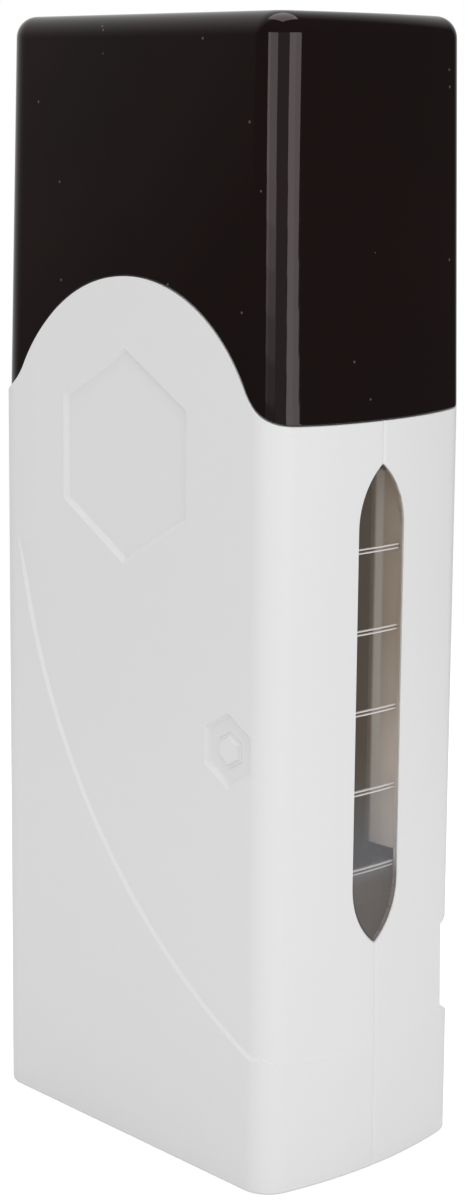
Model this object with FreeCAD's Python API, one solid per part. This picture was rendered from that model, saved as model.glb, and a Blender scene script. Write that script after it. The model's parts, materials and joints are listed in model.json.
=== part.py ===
import FreeCAD, Part
import math
import os

V = FreeCAD.Vector

# Roll-on wax warmer. Millimetres, +Z up, origin at the centre of the base.
# The window looks to -Y, the button is on the -X face, the power inlet on the +Y face.

# Housing, measured at the rim that it stands on
housing_width = 50.55
housing_depth = 82.8
housing_draft = 0.143
seam_height = 140.1
corner_radius = 5.9
bow_radius = 93.5
wall = 2.0
floor_thickness = 2.2

# Cap
cap_height = 69.9
cap_draft = 1.12
cap_wall = 2.0
cap_top_wall = 2.2
cap_edge_radius = 3.1
seam_gap = 0.25

# Arched seam between housing and cap on the wide faces
arch_rise = 23.9
arch_radius = 35.0
arch_blend_radius = 12.0

# Swept step: the housing is set back inside a large circle seen from the side
sweep_front = 44.9
sweep_drop = 1.1
sweep_radius = 124.3
step_depth = 0.3
step_ramp = 1.0

# Large hexagon recess on both wide faces
hexagon_radius = 19.6
hexagon_y = 0.6
hexagon_drop = 32.6
hexagon_depth = 0.4
hexagon_ramp = 1.0

# Grip notch at the front corner of the right shell
notch_low = 23.0
notch_high = 42.0
notch_depth = 3.7
notch_length = 21.4
notch_low_ramp = 3.2
notch_high_ramp = 1.4

# Window and its lens
window_half_width = 5.75
window_point_radius = 14.4
window_low = 43.8
window_top_margin = 7.6
window_bevel = 0.4
lens_gap = 0.12
lens_setback = 0.1
lens_flange = 0.5
lens_flange_thickness = 1.2
mark_count = 5
mark_end_room = 14.95
mark_width = 0.75
mark_height = 0.35
mark_half_length = 5.0
window_rib_depth = 5.5
window_rib_thickness = 1.2
window_rib_rise = 16.2
window_rib_drop = 4.5
rib_gap = 0.1

# Power button in its hexagonal well
button_setback = 13.7
button_z = 81.7
button_well_flats = 11.5
button_well_depth = 0.8
button_well_ramp = 0.7
button_flats = 5.8
button_gap = 0.2
button_proud = 0.55
button_flange_flats = 8.4
button_flange_thickness = 1.0
button_seat_gap = 0.05
button_travel = 0.5
button_edge_radius = 0.3

# Switch and the board behind the button
switch_size = 6.0
switch_height = 1.8
plunger_diameter = 3.2
plunger_height = 0.7
button_board_width = 8.4
button_board_height = 20.0
button_board_thickness = 1.0
stake_pitch = 15.0
stake_diameter = 1.6
stake_post_diameter = 4.0
stake_head = 0.6
stake_gap = 0.1

# Parting line between the shells
lip_reach = 1.0
lip_gap = 0.1
shadow_width = 0.3
shadow_depth = 0.25

# Screws that close the shells
case_boss_diameter = 6.0
case_boss_inset = 9.4
case_upper_drop = 5.6
case_front_z = 15.5
case_back_z = 38.0
case_screw_diameter = 2.4
case_screw_engagement = 10.0
case_hole_diameter = 3.2
case_pilot_gap = 0.05
case_head_diameter = 5.0
case_head_height = 2.2
case_slot_width = 1.0
case_slot_length = 3.2
case_slot_depth = 1.1
case_counterbore_diameter = 5.6
case_counterbore_depth = 3.0
case_pad_diameter = 8.0
case_pad_thickness = 3.0

# Collar under the cap
collar_rise = 27.4
collar_gap = 0.35
collar_wall = 1.8
collar_deck = 2.2
collar_seat_drop = 0.6
collar_edge_radius = 1.0
collar_ledge_half = 20.0
ledge_thickness = 1.8
ear_thickness = 2.0
ear_offset = 5.0
ear_margin = 1.2
ear_gap = 0.2
ear_root = 6.0

# Heating well that takes the cartridge
well_side_room = 6.025
well_end_room = 12.4
well_wall = 1.0
well_corner_radius = 8.0
well_floor_z = 50.0
well_flange = 2.0
well_flange_thickness = 0.8
well_gap = 0.2
view_half_width = 5.5
view_rise = 6.0
view_drop = 1.5

# Cradle under the heating well
foot_plate = 2.4
foot_lip = 1.4
foot_lip_height = 4.0
foot_ledge_half = 12.0
foot_ledge_overlap = 3.0

# Heating pack clamped on the rear of the well
stone_count = 2
stone_inset = 5.25
stone_thickness = 2.4
stone_gap = 1.0
stone_rise = 42.0
stone_drop = 4.0
electrode_thickness = 0.4
electrode_tab_length = 5.0
electrode_tab_width = 4.0
electrode_tab_rise = 2.0
wrap_thickness = 0.2
clamp_thickness = 1.0
clamp_inset = 2.65
clamp_margin = 2.4
stud_diameter = 2.5
stud_gap = 0.15
stud_inset = 5.05
stud_root = 3.0
stud_rise = 14.0
stud_drop = 7.5
stud_tip = 0.6
nut_flats = 5.0
nut_height = 1.8
nut_gap = 0.05

# Thermostat and thermal fuse under the same clamp
thermostat_inset = 8.25
thermostat_height = 6.6
thermostat_rise = 22.0
thermostat_tab_length = 5.0
thermostat_tab_width = 3.0
thermostat_tab_thickness = 0.5
fuse_diameter = 3.4
fuse_length = 10.0
fuse_rise = 32.0
fuse_lead_diameter = 0.8
fuse_lead_inset = 2.6

# Control board on the left shell
board_standoff = 7.675
board_thickness = 1.6
board_setback = 13.4
board_length = 36.0
board_low = 6.0
board_high = 42.0
board_screw_inset = 2.8
board_boss_diameter = 5.0
board_screw_diameter = 1.9
board_screw_length = 6.0
board_head_diameter = 4.2
board_head_height = 1.5
board_hole_diameter = 2.2

# Parts on the control board, each with its distance from the board's front edge
terminal_length = 10.0
terminal_height = 8.0
terminal_depth = 10.0
terminal_z = 32.0
terminal_pitch = 5.0
mains_terminal_place = 30.0
heater_terminal_place = 19.0
terminal_hole_depth = 2.0
line_capacitor_height = 13.0
line_capacitor_length = 18.0
line_capacitor_width = 8.5
line_capacitor_place = 14.4
line_capacitor_z = 12.3
smoothing_diameter = 8.0
smoothing_length = 12.0
smoothing_edge_radius = 0.5
smoothing_place = 18.5
smoothing_z = 22.2
triac_length = 9.0
triac_width = 10.0
triac_thickness = 4.4
triac_tab_length = 6.5
triac_tab_thickness = 1.3
triac_hole_diameter = 3.6
triac_leg_length = 3.5
triac_leg_width = 0.8
triac_leg_pitch = 2.54
triac_place = 8.0
triac_z = 27.0
header_height = 5.0
header_length = 5.0
header_width = 4.0
header_place = 9.5
header_z = 38.5
header_pitch = 2.0

# Two-pin power inlet on the rear narrow face
inlet_z = 16.0
inlet_width = 20.0
inlet_height = 12.0
inlet_setback = 0.9
inlet_gap = 0.2
inlet_flange_width = 27.0
inlet_flange_height = 17.0
inlet_flange_thickness = 1.6
inlet_body_width = 18.0
inlet_body_height = 10.5
inlet_length = 21.0
inlet_socket_depth = 13.0
inlet_socket_radius = 3.9
inlet_waist_height = 6.2
inlet_pin_pitch = 8.6
inlet_pin_diameter = 2.4
inlet_pin_length = 10.0
inlet_blade_length = 4.5
inlet_blade_width = 4.8
inlet_blade_thickness = 0.8
inlet_rib_thickness = 1.6
inlet_rib_overlap = 1.6
inlet_rib_gap = 0.1

# Inner wiring
mains_lead_diameter = 1.8
heater_lead_diameter = 1.6
button_lead_diameter = 1.1
lead_bend_share = 0.45
lead_side_gap = 1.8
lead_rear_gap = 5.2
lead_under_gap = 1.4
fuse_link_reach = 2.8

# Building allowances: how far cutters run past a face, and how far added material sinks into its wall
past = 1.0
sink = 0.6

# Places that follow from the sizes above
cap_top = seam_height + cap_height
arch_top = seam_height + arch_rise
blank_top = arch_top + past
front_y = -housing_depth / 2
sweep_centre_y = front_y - sweep_front
sweep_centre_z = seam_height - sweep_drop
hexagon_z = arch_top - hexagon_drop
notch_back = front_y + notch_length
window_high = seam_height - window_top_margin
mark_pitch = (window_high - window_low - 2 * mark_end_room) / (mark_count - 1)
window_rib_low = window_low + window_rib_rise
window_rib_high = window_high - window_rib_drop
button_y = front_y + button_setback
collar_top = seam_height + collar_rise
well_width = housing_width - 2 * (wall + well_side_room)
well_depth = housing_depth - 2 * (wall + well_end_room)
view_low = well_floor_z + view_rise
view_high = window_high - view_drop


def tan(degrees):
    return math.tan(math.radians(degrees))


def housing_plan(z):
    """Half width and half depth of the housing at a height."""
    shrink = z * tan(housing_draft)
    return housing_width / 2 - shrink, housing_depth / 2 - shrink


def cap_plan(z):
    """Half width and half depth of the cap at a height."""
    half, apex = housing_plan(seam_height)
    shrink = (z - seam_height) * tan(cap_draft)
    return half - shrink, apex - shrink


def box(x0, x1, y0, y1, z0, z1):
    return Part.makeBox(x1 - x0, y1 - y0, z1 - z0, V(x0, y0, z0))


def rod(diameter, start, end):
    run = end - start
    return Part.makeCylinder(diameter / 2, run.Length, start, run)


def arc(start, middle, end):
    return Part.Arc(start, middle, end).toShape()


def polygon(points):
    return Part.makePolygon(points + points[:1])


def prism(wire, run):
    return Part.Face(wire).extrude(run)


def hexagon(radius, x, y, z):
    """Upright hexagon in a plane across X."""
    turns = [math.radians(90 + 60 * k) for k in range(6)]
    return polygon([V(x, y + radius * math.cos(a), z + radius * math.sin(a)) for a in turns])


def corner_radius_of_hexagon(flats):
    return flats / math.sqrt(3)


def outline(plan, z, inset):
    """Plan outline: straight wide sides, bowed narrow sides and round corners, all tangent."""
    half, apex = plan(z)
    centre_x = half - corner_radius
    bow_y = apex - bow_radius
    reach = bow_radius - corner_radius
    centre_y = bow_y + math.sqrt(reach ** 2 - centre_x ** 2)
    radius = corner_radius - inset
    lean = math.atan2(centre_x, centre_y - bow_y)
    bow_end_x = (bow_radius - inset) * math.sin(lean)
    bow_end_y = bow_y + (bow_radius - inset) * math.cos(lean)
    middle = (math.pi / 2 - lean) / 2
    mid_x = centre_x + radius * math.cos(middle)
    mid_y = centre_y + radius * math.sin(middle)
    side_x = half - inset
    tip_y = apex - inset

    def at(x, y):
        return V(x, y, z)

    edges = [
        arc(at(-bow_end_x, -bow_end_y), at(0, -tip_y), at(bow_end_x, -bow_end_y)),
        arc(at(bow_end_x, -bow_end_y), at(mid_x, -mid_y), at(side_x, -centre_y)),
        Part.makeLine(at(side_x, -centre_y), at(side_x, centre_y)),
        arc(at(side_x, centre_y), at(mid_x, mid_y), at(bow_end_x, bow_end_y)),
        arc(at(bow_end_x, bow_end_y), at(0, tip_y), at(-bow_end_x, bow_end_y)),
        arc(at(-bow_end_x, bow_end_y), at(-mid_x, mid_y), at(-side_x, centre_y)),
        Part.makeLine(at(-side_x, centre_y), at(-side_x, -centre_y)),
        arc(at(-side_x, -centre_y), at(-mid_x, -mid_y), at(-bow_end_x, -bow_end_y)),
    ]
    return Part.Wire(edges)


def skin(plan, low, high, inset):
    """Drafted solid inside the plan outline, set in by a distance."""
    return Part.makeLoft([outline(plan, low, inset), outline(plan, high, inset)], True, True)


def ring(plan, low, high, outer, inner):
    """Drafted wall between two insets."""
    return skin(plan, low, high, outer).cut(skin(plan, low - past, high + past, inner))


def bow_face_y(plan, z, inset, x):
    """Distance from the middle to a bowed narrow face, at a height and an offset from its centre."""
    apex = plan(z)[1]
    return apex - bow_radius + math.sqrt((bow_radius - inset) ** 2 - x ** 2)


def above_seam(lift):
    """Everything above the arched seam, as a prism across the housing."""
    level = seam_height + lift
    radius = arch_radius + lift
    blend = arch_blend_radius - lift
    centre_z = seam_height + arch_rise - arch_radius
    blend_z = level + blend
    blend_y = math.sqrt((radius + blend) ** 2 - (blend_z - centre_z) ** 2)
    lean = math.atan2(blend_y, blend_z - centre_z)
    touch_y = radius * math.sin(lean)
    touch_z = centre_z + radius * math.cos(lean)
    mid_y = blend_y - blend * math.sin(lean / 2)
    mid_z = blend_z - blend * math.cos(lean / 2)
    x = -housing_width
    side = housing_depth
    roof = cap_top + cap_height

    def at(y, z):
        return V(x, y, z)

    edges = [
        Part.makeLine(at(-side, level), at(-blend_y, level)),
        arc(at(-blend_y, level), at(-mid_y, mid_z), at(-touch_y, touch_z)),
        arc(at(-touch_y, touch_z), at(0, centre_z + radius), at(touch_y, touch_z)),
        arc(at(touch_y, touch_z), at(mid_y, mid_z), at(blend_y, level)),
        Part.makeLine(at(blend_y, level), at(side, level)),
        Part.makeLine(at(side, level), at(side, roof)),
        Part.makeLine(at(side, roof), at(-side, roof)),
        Part.makeLine(at(-side, roof), at(-side, level)),
    ]
    return prism(Part.Wire(edges), V(2 * housing_width, 0, 0))


def lancet(offset, y):
    """Pointed window outline in a plane across Y, grown by an offset."""
    radius = window_point_radius + offset
    half = window_half_width + offset
    centre_x = window_point_radius - window_half_width
    rise = math.sqrt(window_point_radius ** 2 - centre_x ** 2)
    spring_low = window_low + rise
    spring_high = window_high - rise
    tip = math.sqrt(radius ** 2 - centre_x ** 2)
    middle = math.atan2(tip, centre_x) / 2
    mid_x = radius * math.cos(middle) - centre_x
    mid_rise = radius * math.sin(middle)

    def at(x, z):
        return V(x, y, z)

    edges = [
        arc(at(0, spring_low - tip), at(mid_x, spring_low - mid_rise), at(half, spring_low)),
        Part.makeLine(at(half, spring_low), at(half, spring_high)),
        arc(at(half, spring_high), at(mid_x, spring_high + mid_rise), at(0, spring_high + tip)),
        arc(at(0, spring_high + tip), at(-mid_x, spring_high + mid_rise), at(-half, spring_high)),
        Part.makeLine(at(-half, spring_high), at(-half, spring_low)),
        arc(at(-half, spring_low), at(-mid_x, spring_low - mid_rise), at(0, spring_low - tip)),
    ]
    return Part.Wire(edges)


def rounded_box(half_x, y0, y1, z0, z1, radius):
    solid = box(-half_x, half_x, y0, y1, z0, z1)
    upright = [e for e in solid.Edges if abs(e.tangentAt(e.FirstParameter).z) > 0.5]
    return solid.makeFillet(radius, upright)


def stadium(width, height, y, z):
    """Long round outline in a plane across Y, centred on X."""
    run = width / 2 - height / 2

    def at(x, up):
        return V(x, y, z + up)

    half = height / 2
    edges = [
        Part.makeLine(at(-run, -half), at(run, -half)),
        arc(at(run, -half), at(run + half, 0), at(run, half)),
        Part.makeLine(at(run, half), at(-run, half)),
        arc(at(-run, half), at(-run - half, 0), at(-run, -half)),
    ]
    return Part.Wire(edges)


def lead(points, diameter):
    """Insulated lead: straight runs joined by tangent arcs that take a share of the shorter run."""
    edges = []
    here = points[0]
    for before, corner, after in zip(points, points[1:], points[2:]):
        way_in = (corner - before).normalize()
        way_out = (after - corner).normalize()
        turn = way_in.getAngle(way_out)
        setback = lead_bend_share * min((corner - before).Length, (after - corner).Length)
        start = corner - way_in * setback
        end = corner + way_out * setback
        bisector = (way_out - way_in).normalize()
        radius = setback / math.tan(turn / 2)
        depth = radius / math.cos(turn / 2) - radius
        edges.append(Part.makeLine(here, start))
        edges.append(arc(start, corner + bisector * depth, end))
        here = end
    edges.append(Part.makeLine(here, points[-1]))
    first = points[1] - points[0]
    section = Part.Wire(Part.makeCircle(diameter / 2, points[0], first))
    return Part.Wire(edges).makePipeShell([section], True, False)


# Places that several pieces share

def inner_face_x(z):
    """Distance from the middle to the inside of a wide wall."""
    return housing_plan(z)[0] - wall


def face_x(z):
    """Distance from the middle to the set-back outside of a wide wall."""
    return housing_plan(z)[0] - step_depth


case_boss_y = housing_depth / 2 - case_boss_inset
case_upper_z = seam_height - case_upper_drop
case_spots = [
    (-case_boss_y, case_upper_z),
    (case_boss_y, case_upper_z),
    (-case_boss_y, case_front_z),
    (case_boss_y, case_back_z),
]
collar_seat_z = seam_height - collar_seat_drop
collar_inset = cap_wall + collar_gap
well_half_width = well_width / 2 + well_wall
well_back = well_depth / 2 + well_wall
well_bottom = well_floor_z - well_wall
foot_bottom = well_bottom - foot_plate
pack_thickness = stone_thickness + 2 * electrode_thickness + 2 * wrap_thickness
pack_middle_y = well_back + pack_thickness / 2
clamp_back = well_back + pack_thickness + clamp_thickness
clamp_half_width = well_half_width - clamp_inset
stud_half_pitch = well_half_width - stud_inset
stud_low = well_floor_z + stud_rise
stud_high = case_upper_z - stud_drop
stone_width = well_width - 2 * stone_inset
stone_low = well_floor_z + stone_rise
pack_height = stud_high - stone_drop - stone_low
stone_height = (pack_height - (stone_count - 1) * stone_gap) / stone_count
thermostat_width = well_width - 2 * thermostat_inset
thermostat_z = well_floor_z + thermostat_rise
fuse_z = well_floor_z + fuse_rise
stud_spots = [(x, z) for x in (-stud_half_pitch, stud_half_pitch) for z in (stud_low, stud_high)]
button_flange_radius = corner_radius_of_hexagon(button_flange_flats)
button_inner_x = button_seat_gap - inner_face_x(button_z + button_flange_radius)
button_back_x = button_inner_x + button_flange_thickness
switch_front_x = button_back_x + plunger_height
button_board_x = switch_front_x + switch_height
stake_spots = [button_z - stake_pitch / 2, button_z + stake_pitch / 2]
board_back_x = wall + board_standoff - housing_width / 2
board_x = board_back_x + board_thickness
board_front = front_y + board_setback
board_back = board_front + board_length
mains_terminal_y = board_front + mains_terminal_place
heater_terminal_y = board_front + heater_terminal_place
header_y = board_front + header_place
board_spots = [
    (y, z)
    for y in (board_front + board_screw_inset, board_back - board_screw_inset)
    for z in (board_low + board_screw_inset, board_high - board_screw_inset)
]
inlet_face_y = housing_plan(inlet_z)[1] - inlet_setback
inlet_flange_y = bow_face_y(housing_plan, inlet_z, wall, inlet_flange_width / 2)
inlet_rear_y = inlet_face_y - inlet_length
lens_inset = step_depth + lens_setback


# Housing shells

def set_back():
    """Material outside the swept step, with a ramp on the wide faces."""
    middle = housing_plan(sweep_centre_z / 2)[0]
    slope = step_ramp / step_depth
    core_half = middle - 2 * step_depth
    core_radius = sweep_radius - 2 * step_ramp
    centre = V(0, sweep_centre_y, sweep_centre_z)
    swept = rod(2 * core_radius, centre + V(-core_half, 0, 0), centre + V(core_half, 0, 0))
    flare = past * slope
    for side in (-1, 1):
        start = centre + V(side * core_half, 0, 0)
        run = 2 * step_depth + past
        cone = Part.makeCone(core_radius, sweep_radius + flare, run, start, V(side, 0, 0))
        swept = swept.fuse(cone)
    return swept.cut(skin(housing_plan, -past, blank_top + past, step_depth))


def hexagon_recess(side):
    surface = side * face_x(hexagon_z)
    floor = surface - side * hexagon_depth
    outside = surface + side * past
    flare = hexagon_ramp * past / hexagon_depth
    wires = [
        hexagon(hexagon_radius - hexagon_ramp, floor, hexagon_y, hexagon_z),
        hexagon(hexagon_radius + flare, outside, hexagon_y, hexagon_z),
    ]
    return Part.makeLoft(wires, True, True)


def button_well():
    surface = -face_x(button_z)
    radius = corner_radius_of_hexagon(button_well_flats)
    flare = button_well_ramp * past / button_well_depth
    wires = [
        hexagon(radius - button_well_ramp, surface + button_well_depth, button_y, button_z),
        hexagon(radius + flare, surface - past, button_y, button_z),
    ]
    opening = corner_radius_of_hexagon(button_flats + 2 * button_gap)
    hole = prism(hexagon(opening, surface - past, button_y, button_z), V(wall + 2 * past, 0, 0))
    return Part.makeLoft(wires, True, True).fuse(hole)


def window_cut():
    apex = housing_plan(window_low)[1]
    surface = -(apex - step_depth)
    hole = prism(lancet(0, surface - past), V(0, wall + 3 * past, 0))
    bevel = [lancet(window_bevel + past, surface - past), lancet(0, surface + window_bevel)]
    return hole.fuse(Part.makeLoft(bevel, True, True))


def inlet_cut():
    outer = stadium(inlet_width + 2 * inlet_gap, inlet_height + 2 * inlet_gap, inlet_flange_y, inlet_z)
    return prism(outer, V(0, wall + 4 * past, 0))


def full_housing():
    """Both shells as one hollow body, before it is parted."""
    outer = skin(housing_plan, 0, blank_top, 0).cut(set_back())
    inner = skin(housing_plan, floor_thickness, blank_top + past, wall)
    hollow = outer.cut(inner).cut(above_seam(0))
    groove = ring(housing_plan, -past, blank_top + past, -past, step_depth + shadow_depth)
    line = box(-shadow_width / 2, shadow_width / 2, -housing_depth, housing_depth, 0, blank_top + past)
    return hollow.cut(groove.common(line)).cut([window_cut(), inlet_cut()])


def half_space(side):
    far = side * housing_width
    return box(min(0, far), max(0, far), -housing_depth, housing_depth, -past, cap_top)


def lip(growth, reach):
    """Tongue along the parting line, in the inner part of the wall."""
    wall_part = ring(housing_plan, floor_thickness, seam_height - past, wall / 2 - growth, wall + growth)
    strip = box(-sink, reach, -housing_depth, housing_depth, floor_thickness, seam_height)
    openings = [window_cut(), inlet_cut()]
    return wall_part.common(strip).cut(openings)


def ledge(side, z_top, inner_x, half_length):
    """Shelf on the inside of a wide wall."""
    outer_x = inner_face_x(z_top) + sink
    x = sorted((side * inner_x, side * outer_x))
    return box(x[0], x[1], -half_length, half_length, z_top - ledge_thickness, z_top)


def shelves(side):
    collar_inner = cap_plan(collar_seat_z)[0] - collar_inset - collar_wall
    foot_outer = well_half_width + well_gap + foot_lip
    return [
        ledge(side, collar_seat_z, collar_inner, collar_ledge_half),
        ledge(side, foot_bottom, foot_outer - foot_ledge_overlap, foot_ledge_half),
    ]


def window_rib(side):
    """Rib beside the window that keeps the lens in line."""
    near = side * (window_half_width + lens_flange + rib_gap)
    far = near + side * window_rib_thickness
    x = sorted((near, far))
    apex = housing_plan(window_rib_low)[1]
    front = -(apex - wall / 2)
    back = -(apex - wall - window_rib_depth)
    rib = box(x[0], x[1], front, back, window_rib_low, window_rib_high)
    return rib.common(skin(housing_plan, 0, seam_height, wall / 2))


def inlet_rib(side):
    """Rib that stands behind the inlet's flange."""
    near = side * (inlet_flange_width / 2 - inlet_rib_overlap)
    far = side * (inner_face_x(inlet_z) + sink)
    x = sorted((near, far))
    front = inlet_flange_y - inlet_flange_thickness - inlet_rib_gap
    low = inlet_z - inlet_flange_height / 2
    return box(x[0], x[1], front - inlet_rib_thickness, front, low, low + inlet_flange_height)


def case_boss(side, y, z):
    return rod(case_boss_diameter, V(0, y, z), V(side * (inner_face_x(z) + sink), y, z))


def left_shell():
    shell = full_housing().common(half_space(-1))
    added = shelves(-1) + [window_rib(-1), inlet_rib(-1), lip(0, lip_reach)]
    added += [case_boss(-1, y, z) for y, z in case_spots]
    for y, z in board_spots:
        added.append(rod(board_boss_diameter, V(board_back_x, y, z), V(-inner_face_x(z) - sink, y, z)))
    for z in stake_spots:
        root = V(-inner_face_x(z) - sink, button_y, z)
        seat = V(button_board_x, button_y, z)
        added.append(rod(stake_post_diameter, root, seat))
        tip = seat + V(button_board_thickness + stake_head, 0, 0)
        added.append(rod(stake_diameter, seat - V(sink, 0, 0), tip))
    shell = shell.fuse(added)
    cuts = [hexagon_recess(-1), button_well()]
    pilot = case_screw_diameter + 2 * case_pilot_gap
    for y, z in case_spots:
        cuts.append(rod(pilot, V(past + lip_reach, y, z), V(-case_screw_engagement - past, y, z)))
    for y, z in board_spots:
        bottom = board_x - board_screw_length - past / 2
        cuts.append(rod(board_screw_diameter + 2 * case_pilot_gap, V(board_x, y, z), V(bottom, y, z)))
    return shell.cut(cuts)


def grip_notch():
    """Sloped pocket that opens at the front corner."""
    surface = face_x(notch_low)
    floor = surface - notch_depth
    outside = surface + past
    low_slope = notch_low_ramp / notch_depth
    high_slope = notch_high_ramp / notch_depth
    front = -housing_depth
    profile = polygon([
        V(floor, front, notch_low + notch_low_ramp),
        V(floor, front, notch_high - notch_high_ramp),
        V(outside, front, notch_high + past * high_slope),
        V(outside, front, notch_low - past * low_slope),
    ])
    return prism(profile, V(0, notch_back - front, 0))


def notch_backing():
    """Wall behind the grip notch."""
    floor = face_x(notch_low) - notch_depth
    low = notch_low - wall / 2
    high = notch_high + wall / 2
    block = box(floor - wall, housing_width, -housing_depth, notch_back + wall, low, high)
    return block.common(skin(housing_plan, 0, seam_height, wall / 2))


def right_shell():
    shell = full_housing().common(half_space(1))
    added = shelves(1) + [window_rib(1), inlet_rib(1), notch_backing()]
    for y, z in case_spots:
        inner = inner_face_x(z)
        added.append(case_boss(1, y, z))
        added.append(rod(case_pad_diameter, V(inner - case_pad_thickness, y, z), V(inner + sink, y, z)))
    shell = shell.fuse(added)
    cuts = [hexagon_recess(1), grip_notch(), lip(lip_gap, lip_reach + lip_gap)]
    for y, z in case_spots:
        seat = case_seat_x(z)
        cuts.append(rod(case_hole_diameter, V(-past, y, z), V(seat + past, y, z)))
        cuts.append(rod(case_counterbore_diameter, V(seat, y, z), V(housing_width, y, z)))
    return shell.cut(cuts)


def case_seat_x(z):
    """Where a case screw's head sits."""
    return face_x(z) - case_counterbore_depth


def case_screws():
    screws = []
    for y, z in case_spots:
        seat = case_seat_x(z)
        shank = rod(case_screw_diameter, V(-case_screw_engagement, y, z), V(seat, y, z))
        top = seat + case_head_height
        head = rod(case_head_diameter, V(seat, y, z), V(top, y, z))
        thin, long = case_slot_width / 2, case_slot_length / 2
        cross = [
            box(top - case_slot_depth, top + past, y - a, y + a, z - b, z + b)
            for a, b in ((thin, long), (long, thin))
        ]
        screws.append(head.fuse(shank).cut(cross))
    return Part.makeCompound(screws)


# Cap, window and collar

def top_edges(solid, z):
    return [e for e in solid.Edges if all(abs(v.Z - z) < 1e-4 for v in e.Vertexes)]


def rounded_skin(plan, low, high, inset, radius):
    """Drafted solid with its top edge rounded."""
    solid = skin(plan, low, high, inset)
    return solid.makeFillet(radius, top_edges(solid, high))


def cap():
    outer = rounded_skin(cap_plan, seam_height, cap_top, 0, cap_edge_radius)
    inner_radius = max(cap_edge_radius - cap_wall, cap_wall / 2)
    inner = rounded_skin(cap_plan, seam_height - past, cap_top - cap_top_wall, cap_wall, inner_radius)
    return outer.cut(inner).common(above_seam(seam_gap))


def mark_heights():
    middle = (window_low + window_high) / 2
    return [middle + (k - (mark_count - 1) / 2) * mark_pitch for k in range(mark_count)]


def window_lens():
    """Pointed plug with a thin flange behind the wall and raised level marks on its inner face."""
    front = -housing_depth
    run = V(0, housing_depth - well_depth / 2, 0)
    low = window_low - lens_flange - past
    high = window_high + lens_flange + past
    flange_inset = wall + lens_flange_thickness
    plug = ring(housing_plan, low, high, lens_inset, flange_inset)
    flange = ring(housing_plan, low, high, wall, flange_inset)
    marks = ring(housing_plan, low, high, wall, flange_inset + mark_height)
    lens = plug.common(prism(lancet(-lens_gap, front), run))
    lens = lens.fuse(flange.common(prism(lancet(lens_flange, front), run)))
    for z in mark_heights():
        bar = box(-mark_half_length, mark_half_length, front, 0, z - mark_width / 2, z + mark_width / 2)
        lens = lens.fuse(marks.common(bar))
    return lens.removeSplitter()


def collar_ear(side):
    """Ear that hangs from the collar and hooks round the outer side of an upper case boss."""
    y = side * case_boss_y
    reach = case_boss_diameter / 2 + ear_gap + ear_margin
    outer_y = side * (cap_plan(collar_seat_z)[1] - collar_inset - sink)
    span = sorted((outer_y, y))
    low = case_upper_z - reach
    high = collar_seat_z + ear_root
    plate = box(-ear_offset - ear_thickness, -ear_offset, span[0], span[1], low, high)
    hole = rod(case_boss_diameter + 2 * ear_gap, V(-housing_width, y, case_upper_z), V(0, y, case_upper_z))
    return plate.cut(hole)


def well_collar():
    outer = rounded_skin(cap_plan, collar_seat_z, collar_top, collar_inset, collar_edge_radius)
    inner = skin(cap_plan, collar_seat_z - past, collar_top - collar_deck, collar_inset + collar_wall)
    collar = outer.cut(inner).fuse([collar_ear(-1), collar_ear(1)])
    return collar.cut([well_outline(well_gap, collar_seat_z, collar_top + past), well_flange_seat(well_gap)])


# Heating well and its cradle

def well_outline(growth, low, high):
    """Outside of the heating well, grown by a distance."""
    return rounded_box(
        well_half_width + growth, -well_back - growth, well_back + growth, low, high,
        well_corner_radius + well_wall + growth,
    )


def well_flange_seat(gap):
    return well_outline(well_flange + gap, collar_top - well_flange_thickness, collar_top + past)


def heating_well():
    body = well_outline(0, well_bottom, collar_top)
    rim = well_outline(well_flange, collar_top - well_flange_thickness, collar_top)
    hollow = rounded_box(
        well_width / 2, -well_depth / 2, well_depth / 2, well_floor_z, collar_top + past, well_corner_radius
    )
    view = box(-view_half_width, view_half_width, -well_back - past, 0, view_low, view_high)
    tip = clamp_back + nut_height + stud_tip
    studs = [rod(stud_diameter, V(x, well_back - stud_root, z), V(x, tip, z)) for x, z in stud_spots]
    return body.fuse([rim] + studs).cut([hollow, view])


def well_foot():
    outer = well_outline(well_gap + foot_lip, foot_bottom, well_bottom + foot_lip_height)
    return outer.cut(well_outline(well_gap, well_bottom, well_bottom + foot_lip_height + past))


# Heating pack

def ptc_stones():
    front = well_back + wrap_thickness + electrode_thickness
    back = front + stone_thickness
    half = stone_width / 2
    stones = []
    for k in range(stone_count):
        low = stone_low + k * (stone_height + stone_gap)
        stones.append(box(-half, half, front, back, low, low + stone_height))
    return Part.makeCompound(stones)


def electrode(front, side):
    """Contact strip with a tab at one side."""
    back = front + electrode_thickness
    strip = box(-stone_width / 2, stone_width / 2, front, back, stone_low, stone_low + pack_height)
    x = sorted((0, side * (stone_width / 2 + electrode_tab_length)))
    low = stone_low + electrode_tab_rise
    return strip.fuse(box(x[0], x[1], front, back, low, low + electrode_tab_width)).removeSplitter()


front_electrode_y = well_back + wrap_thickness
rear_electrode_y = front_electrode_y + electrode_thickness + stone_thickness


def heater_wrap():
    half = stone_width / 2
    low, high = stone_low, stone_low + pack_height
    back = well_back + pack_thickness
    outer = box(-half, half, well_back, back, low - wrap_thickness, high + wrap_thickness)
    return outer.cut(box(-half - past, half + past, front_electrode_y, back - wrap_thickness, low, high))


def clamp_plate():
    front = well_back + pack_thickness
    low = stud_low - clamp_margin
    high = stud_high + clamp_margin
    plate = box(-clamp_half_width, clamp_half_width, front, clamp_back, low, high)
    holes = [
        rod(stud_diameter + 2 * stud_gap, V(x, front - past, z), V(x, clamp_back + past, z))
        for x, z in stud_spots
    ]
    return plate.cut(holes)


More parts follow.
